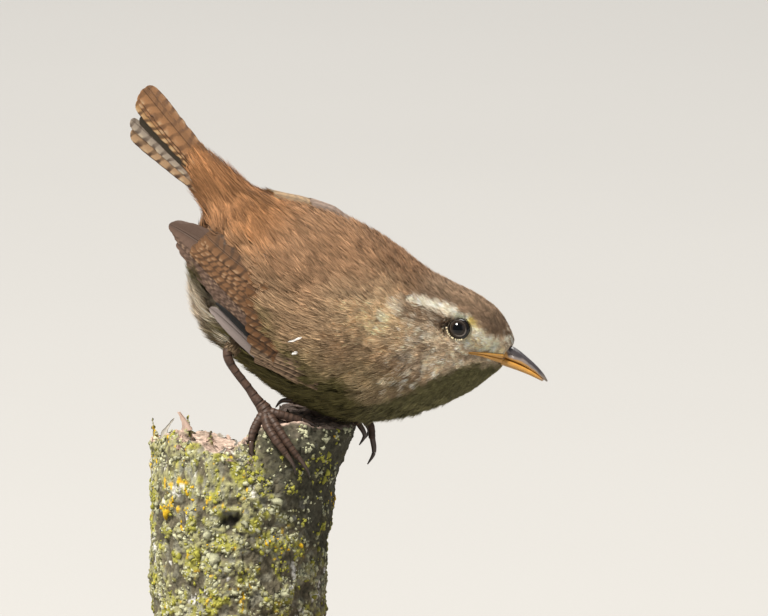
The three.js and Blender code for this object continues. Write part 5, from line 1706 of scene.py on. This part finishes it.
for side, name in SIDE_NAMES.items():
    leg = LEGS[side]
    legs, claws = Tubes(), Tubes()
    knee, heel, ankle = (np.array(leg[k]) for k in ("knee", "heel", "ankle"))
    middle = heel * 0.38 + ankle * 0.62 + [-0.2, 0, -0.1]
    rings, mark, share = limb([knee, heel, middle, ankle], SHANK_RADII, LEG_FRONT, SHANK_SCUTE)
    legs.add(rings, scaled(mark, share))
    above, below = ankle + 2.4 * unit(middle - ankle), ankle + [0.4, -0.4, -1.5]
    rings, mark, share = limb([above, ankle, below], ANKLE_RADII, LEG_FRONT, ANKLE_SCUTE)
    legs.add(rings, scaled(mark, share))
    for toe, top in zip(TOES, TOE_TOPS[side]):
        bones, tip = leg[toe][:-2], leg[toe][-2:]
        rings, mark, share = limb([ankle] + bones, TOE_RADII, top, TOE_SCUTE, TOE_JOINTS)
        legs.add(rings, scaled(mark, share))
        sheath = np.array(bones[-1]) * 0.75 + np.array(bones[-2]) * 0.25
        rings, mark, share = limb([sheath] + tip, CLAW_RADII, top, squash=0.76, sides=14, per_mm=8)
        claws.add(rings, blend(CLAW_BASE, CLAW_END, share[:, None, None]) + 0 * rings)
    legs.piece(f"leg_{name}_scales", leg_finish, "leg", (f"leg_{name}", f"foot_{name}"))
    claws.piece(f"claws_{name}", claw_finish, "claw", tuple(f"claw_{name}_{toe}" for toe in TOES))

# %% [markdown]
# ## Feathered thighs
# A wren's leg is feathered down to just above the heel. The coat of the body can't reach there, as it grows from
# the body's own skin. So short tufts in rings round the upper leg, all lying towards the foot, join the bare
# shank to the belly.

# %% Thigh tufts
THIGH_RINGS, THIGH_TUFTS, THIGH_DOWN, THIGH_TONE = 12, 16, 0.72, (0.2, 0.14, 0.085)
roots, lies, ups = [], [], []
for side in (RIGHT, LEFT):
    knee, heel = (np.array(LEGS[side][k]) for k in ("knee", "heel"))
    start = knee + (knee - heel) * 0.25
    run = unit(heel - start)
    first = unit(np.cross(run, LEFTWARD))
    second = np.cross(run, first)
    for share in np.linspace(0, THIGH_DOWN, THIGH_RINGS):
        angles = 2 * pi * (np.arange(THIGH_TUFTS) + draw.random()) / THIGH_TUFTS
        outward = np.cos(angles)[:, None] * first + np.sin(angles)[:, None] * second
        roots.append(start + (heel - start) * share + outward * (2.3 - 1.7 * share))
        lies.append(np.broadcast_to(run, outward.shape) + outward * (0.12 - 0.25 * share))
        ups.append(outward)
roots, lies, ups = np.concatenate(roots), unit(np.concatenate(lies)), np.concatenate(ups)
s, h, y = bird_axes(roots)
count = len(roots)
loose_tufts(
    "coat_thighs", roots, lies, ups, draw.uniform(1.7, 2.5, count), draw.uniform(0.9, 1.3, count),
    np.full(count, 0.35), 9, np.tile(THIGH_TONE, (count, 1)),
    bake_place(0.72 + 0 * s, 0.5 + 0.012 * y), coat_finish, "plumage_brown",
)

# %% [markdown]
# ## White flecks
# Two body feathers on the near side have white tips. Painting them into the markings would blur them. They are
# tufts of their own, laid on the plumage.

# %% White tips
FLECKS = [  # s and h of the root, length, width
    (-4.2, -3.3, 1.6, 0.34), (-4.8, -3.9, 1.5, 0.3), (-5.4, -4.4, 1.2, 0.26),
    (-3.9, -6.2, 1.0, 0.6), (-4.2, -6.5, 0.9, 0.5),
]
FLECK_TURN, FLECK_TONE = radians(47), (0.8, 0.77, 0.73)
roots, ups = [], []
for s0, h0, *_ in FLECKS:
    near = form_point(s0, h0, RIGHT)
    ups.append(form_normals.reshape(-1, 3)[near])
    roots.append(form_points.reshape(-1, 3)[near] + 0.05 * ups[-1])
roots, ups = np.array(roots), np.array(ups)
way = -cos(FLECK_TURN) * FORWARD - sin(FLECK_TURN) * DORSAL
lies = unit(way - (ups @ way)[:, None] * ups)
size = np.array(FLECKS)[:, 2:]
loose_tufts(
    "coat_white_tips", roots, lies, ups, size[:, 0], size[:, 1], np.full(len(size), 0.12), 11,
    np.tile(FLECK_TONE, (len(size), 1)), bake_place(0.45 + 0.01 * np.arange(len(size)), 0.3), coat_finish,
    "plumage_brown", thin=0.11,
)

# %% [markdown]
# ## The branch stub
# The stub is dead wood with thin bark under a crust of lichen: grey-green and yellow-green powder, orange
# specks and pale flakes, a rotten hollow painted near black as the shade inside it, and torn fibres round its
# broken top. The bird's shadow is painted on its right side. Its plain block becomes a fine mesh whose points are
# pushed in and out, and the crust is painted from the same patterns.

# %% Stub surface
BARK = {
    "bark": (0.12, 0.105, 0.07),
    "lichen": (0.27, 0.26, 0.13),
    "moss": (0.29, 0.28, 0.05),
    "grey": (0.33, 0.33, 0.26),
    "orange": (0.58, 0.37, 0.02),
    "shaded_hollow": (0.02, 0.018, 0.013),
    "torn": (0.46, 0.34, 0.28),
    "dark": (0.05, 0.047, 0.032),
    "white": (0.55, 0.54, 0.5),
    "crumb": (0.38, 0.38, 0.25),
    "weathered": (0.36, 0.34, 0.3),
}
STUB_X, STUB_VOXEL, STUB_CALM, RIM_RISE = -8.0, 0.33, 4, 2.6
KNOT_X, KNOT_Z = -6.6, 34


def bare_and_shaded_side(x, z, lumps=0.0):
    """The share of the right side that is painted dark as the bird's cast shadow; there the lichen crust is also
    thinner.
    """
    return soft_step(x + 0.48 * (z - 40) + 1.6 * lumps, -1.5, 1.5)


def stub_look(points, normals):
    """How far each point of the stub stands out, and its colour."""
    x, y, z = points.T
    turn = np.arctan2(y, x - STUB_X)
    around = stack(turn * 14, z * 0.35, 0)
    fissure = np.abs(ripple(around, 2.2, 41))
    lumps = ripple(points, 3.2, 42)
    crumbs = ripple(points, 1.0, 43)
    fine = ripple(points, 0.55, 44)
    on_side = soft_drop(normals[:, 2], 0.35, 0.75)
    cover = soft_step(lumps + 0.5 * crumbs + 0.25 * np.cos(turn + 2.3), -0.5, 0.35) * on_side
    bare_and_shaded_right = bare_and_shaded_side(x, z, lumps)
    cover = cover * (1 - 0.75 * bare_and_shaded_right)
    cracks = 0.3 * soft_drop(fissure, 0, 0.25) * (1 - cover)
    push = 0.25 * lumps + 0.22 * crumbs * cover + 0.12 * fine - cracks
    colour = np.zeros(points.shape) + BARK["bark"]

    def lay(name, share):
        nonlocal colour
        colour = laid(colour, BARK[name], share)

    # Painted shade darkens the bark's fissures.
    lay("dark", 0.7 * soft_drop(fissure, 0, 0.3))
    lay("grey", 0.8 * soft_step(ripple(points, 2.0, 45), 0.1, 0.6) * (0.4 + 0.6 * cover))
    lay("lichen", cover * soft_step(crumbs + fine * 0.4, -0.6, 0.2))
    lay("moss", cover * soft_step(ripple(points, 2.4, 46), 0.05, 0.7) * 0.9)
    lay("orange", cover * soft_step(ripple(points, 1.2, 47) + 0.5 * ripple(points, 9, 48), 1.1, 1.4))
    lay("white", soft_step(ripple(points, 3.5, 49) + 0.3 * fine, 1.15, 1.35))
    # Painted shadow: the bird's cast shadow darkens the stub's right side.
    lay("dark", bare_and_shaded_right * 0.9)
    knot = np.hypot((x - KNOT_X - 0.5 * (z - KNOT_Z)) / 3.3, (z - KNOT_Z) / 2.4) + 0.12 * crumbs + 0.3 * lumps
    in_knot = soft_drop(knot, 0.45, 1.0) * (y < 0)
    # Painted shade: the shallow hollow of the knot is laid near black.
    lay("shaded_hollow", in_knot)
    lay("torn", soft_step(normals[:, 2], 0.3, 0.8) * soft_step(z, 40, 43) * (0.75 + 0.25 * crumbs))
    push = push * (1 - in_knot) - 1.3 * in_knot
    colour = colour * (1 + 0.25 * fine + 0.12 * crumbs)[:, None]
    return push, np.clip(colour, 0.01, 0.9)


stub_points, stub_faces, stub_normals = fine_copy(["perch"], STUB_VOXEL, STUB_CALM)
push, stub_colour = stub_look(stub_points, stub_normals)
low, high = (np.array(corner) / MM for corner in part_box("perch"))
keep_flat = soft_step(stub_points[:, 2], low[2] + 0.3, low[2] + 1.5)
stub_points = stub_points + stub_normals * (push * keep_flat * 0.9 - 0.15)[:, None]
x, y, z = stub_points.T
rim_rise = soft_step(z, 37.5, 41.5) * soft_step(-y, 3, 8) * soft_step(x, -24, -20) * soft_drop(x, -9, -4)
stub_points[:, 2] += RIM_RISE * rim_rise
stub_finish = Finish("lichened_bark", Roughness=0.9, Specular_IOR_Level=0.2)
stub_finish.grained("bark", stub_finish.noise(1800.0, detail=5), 0.5, 0.0003, 0.8)
piece(
    "branch_stub", stub_points, stub_faces, stub_finish, "branch", paint={"bark": stub_colour}, replaces=("perch",)
)

# %% [markdown]
# ## Crust and splinters
# Lichen stands on bark as little lobed lumps, and the broken top ends in torn slivers of bark. The lumps are low
# domes strewn where the crust is thick. The slivers are thin bent plates set along the broken rim.

# %% Lichen lumps
LUMPS, LUMP_SIDES, LOWEST_LUMP = 13000, 7, 14.5
LUMP_RINGS, LUMP_TOP = ((1.0, -0.25), (0.72, 0.22), (0.3, 0.42)), 0.46  # out and up, as shares of a lump's size
pick = draw.integers(0, len(stub_points), LUMPS)
spots, ways = stub_points[pick], stub_normals[pick]
x, y, z = spots.T
crowd = ripple(spots, 3.2, 42) + 0.5 * ripple(spots, 1.0, 43) - 0.5 * bare_and_shaded_side(x, z)
crowd = crowd - 3 * (np.hypot((x - KNOT_X) / 2.4, (z - KNOT_Z) / 1.8) < 1) * (y < 0)
crusted = draw.random(LUMPS) < soft_step(crowd, -1.0, 0.4)
chosen = (ways[:, 2] < 0.5) & (ways[:, 2] > -0.3) & crusted & (z > LOWEST_LUMP)
spots, ways = spots[chosen], ways[chosen]
first = unit(np.cross(ways, [0.3, 0.2, 1.0]))
second = np.cross(ways, first)
size = np.exp(draw.normal(-1.3, 0.38, len(spots)))
turn = np.linspace(0, 2 * pi, LUMP_SIDES, endpoint=False)
spokes = np.cos(turn)[:, None] * first[:, None] + np.sin(turn)[:, None] * second[:, None]
lobes = size[:, None] * (1 + 0.4 * np.clip(draw.normal(0, 1, (len(spots), LUMP_SIDES)), -1.6, 1.6))
layers = []
for reach_out, rise in LUMP_RINGS:
    out = reach_out * lobes[..., None] * spokes
    layers.append(spots[:, None] + out + (rise * size)[:, None, None] * ways[:, None])
layers.append(spots[:, None] + (LUMP_TOP * size)[:, None, None] * ways[:, None])
dome_points = np.concatenate(layers, axis=1)
ring = np.arange(LUMP_SIDES)
after = (ring + 1) % LUMP_SIDES
bands = [(0, LUMP_SIDES), (LUMP_SIDES, 2 * LUMP_SIDES)]
corners = [stack(low + ring, low + after, high + after) for low, high in bands]
corners += [stack(low + ring, high + after, high + ring) for low, high in bands]
corners += [stack(2 * LUMP_SIDES + ring, 2 * LUMP_SIDES + after, 3 * LUMP_SIDES)]
corners = np.concatenate(corners).astype(int)
faces = (np.arange(len(spots))[:, None, None] * (3 * LUMP_SIDES + 1) + corners).reshape(-1, 3)
kind = ripple(spots, 4.0, 51) + draw.normal(0, 0.45, len(spots))
tone = np.where((kind > 0.1)[:, None], BARK["lichen"], BARK["crumb"])
tone = np.where((kind > 0.5)[:, None], BARK["moss"], tone)
golden = ripple(spots, 6.0, 52) + 0.35 * draw.normal(0, 1, len(spots)) > 1.3
tone = np.where(golden[:, None], BARK["orange"], tone) * np.exp(draw.normal(0, 0.14, (len(spots), 1)))
# Painted shade at each lump's foot and painted light on its top.
shaded = np.repeat([0.35, 0.95, 1.15, 1.2], [LUMP_SIDES] * 3 + [1])
tone = tone[:, None] * shaded[:, None]
piece(
    "branch_lichen", dome_points.reshape(-1, 3), faces, stub_finish, "branch",
    paint={"bark": np.clip(tone, 0.01, 0.9).reshape(-1, 3)},
)

# %% Torn slivers
TALLEST = [  # x and y of the foot, half width, height, bend, tone
    ((-23.6, -7.5), 0.5, 4.6, -0.5, "weathered"),
    ((-16.3, -9.0), 0.85, 3.6, 0.9, "torn"),
]
SLIVERS, SLIVER_ROWS, SLIVER_THICK = 110, 9, 0.2
SLIVER_TONES = ("torn", "torn", "torn", "torn", "weathered", "grey")
FACING, FACING_FROM = unit(np.array([-0.2, -1.0, 0.0])), 3
sloping = (stub_normals[:, 2] > 0.2) & (stub_normals[:, 2] < 0.85)
rim = stub_points[sloping & (stub_points[:, 2] > 40.0) & (stub_points[:, 0] < -3)]
plan = [(rim[np.argmin(np.hypot(rim[:, 0] - at[0], rim[:, 1] - at[1]))], *rest) for at, *rest in TALLEST]
for _ in range(SLIVERS):
    kind = SLIVER_TONES[draw.integers(len(SLIVER_TONES))]
    spot = rim[draw.integers(len(rim))]
    wide, tall, bend = draw.uniform(0.3, 0.9), draw.uniform(0.4, 1.3), draw.normal(0, 0.8)
    plan.append((spot, wide, tall, bend, kind))
slivers = VaneSet()
for spot, wide, tall, bend, kind in plan:
    way = unit(np.array([draw.normal(0, 0.2) + 0.12 * bend, draw.normal(0, 0.2), 1.0]))
    out = FACING if tall > FACING_FROM else unit(np.array([spot[0] + 12, spot[1], 0]))
    flat = np.cross(out, way)
    t = np.linspace(0, 1, SLIVER_ROWS)[:, None]
    ragged = 1 + 0.3 * draw.normal(0, 1, (SLIVER_ROWS, 1))
    reach_across = VANE_ACROSS * wide * (1 - 0.8 * t**1.5) * ragged
    top = spot + (tall * t - 0.4)[..., None] * way + reach_across[..., None] * flat
    top = top + (bend * t**2 * tall * 0.3)[..., None] * flat + (0.25 * wide * VANE_ACROSS**2)[..., None] * out
    slivers.add(top, out, tall * t + 0 * reach_across, tall, BARK[kind], 0, SLIVER_THICK)
sliver_finish = Finish("torn_bark", Roughness=0.85, Specular_IOR_Level=0.2)
sliver_finish.grained("ground", sliver_finish.stretched(1200.0, (1, 1, 0.2)), 0.5, 0.0002, 0.7)
slivers.piece("branch_slivers", sliver_finish, "branch")

# %% [markdown]
# ## The display stand
# The stand is a turned wooden disc and a brushed steel rod. Both are profiles turned round an upright line, as a
# lathe makes them, so the disc gets its rounded rim and groove. Wood shows long grain, so its colour is a noise
# stretched along one direction. Steel brushed round the rod has fine rings.

# %% Wooden base
BASE_PROFILE = [  # radius and height
    (29.2, 0.0), (29.7, 0.25), (30.0, 0.9), (30.0, 3.6), (29.75, 4.3), (29.2, 4.6), (28.9, 4.75), (28.9, 5.0),
    (28.7, 5.5), (28.2, 5.85), (27.4, 6.0), (12.0, 6.0),
]
BASE_SIDES, WOOD_TURN = 128, (0, 0, 0.4)
disc = turned(BASE_PROFILE, BASE_SIDES)
base = Tubes()
base.add(disc, np.ones(disc.shape))
wood = Finish("turned_wood", Roughness=0.34, Specular_IOR_Level=0.5, Coat_Weight=0.2, Coat_Roughness=0.3)
grain = wood.stretched(260.0, (0.09, 1, 0.6), WOOD_TURN, 6.0)
pores = wood.stretched(1500.0, (0.05, 1, 1), WOOD_TURN)
tone = wood.mix(wood.spread(grain, 0.35, 0.65), (0.1, 0.045, 0.022, 1), (0.2, 0.1, 0.05, 1))
wood.colour(wood.mix(0.3, tone, pores, "OVERLAY")).relief(pores, 0.0001, 0.3)
base.piece("stand_base_turned", wood, "base", ("stand_base",))

# %% Steel rod
ROD_RADIUS, ROD_EDGE, ROD_LOW, ROD_HIGH, ROD_SIDES = 2.5, 0.2, 2.8, 22.0, 48
ROD_PROFILE = [
    (ROD_RADIUS - ROD_EDGE, ROD_LOW), (ROD_RADIUS, ROD_LOW + ROD_EDGE),
    (ROD_RADIUS, ROD_HIGH - ROD_EDGE), (ROD_RADIUS - ROD_EDGE, ROD_HIGH),
]
rings = turned(ROD_PROFILE, ROD_SIDES, STUB_X)
rod = Tubes()
rod.add(rings, np.ones(rings.shape))
steel = Finish("brushed_steel", Metallic=1.0, Roughness=0.3)
lines = steel.stretched(900.0, (0.05, 0.05, 6), detail=2.0)
steel.colour(steel.mix(lines, (0.5, 0.5, 0.49, 1), (0.64, 0.63, 0.61, 1))).relief(lines, 0.00002, 0.5)
rod.piece("stand_rod_brushed", steel, "rod", ("stand_rod",))
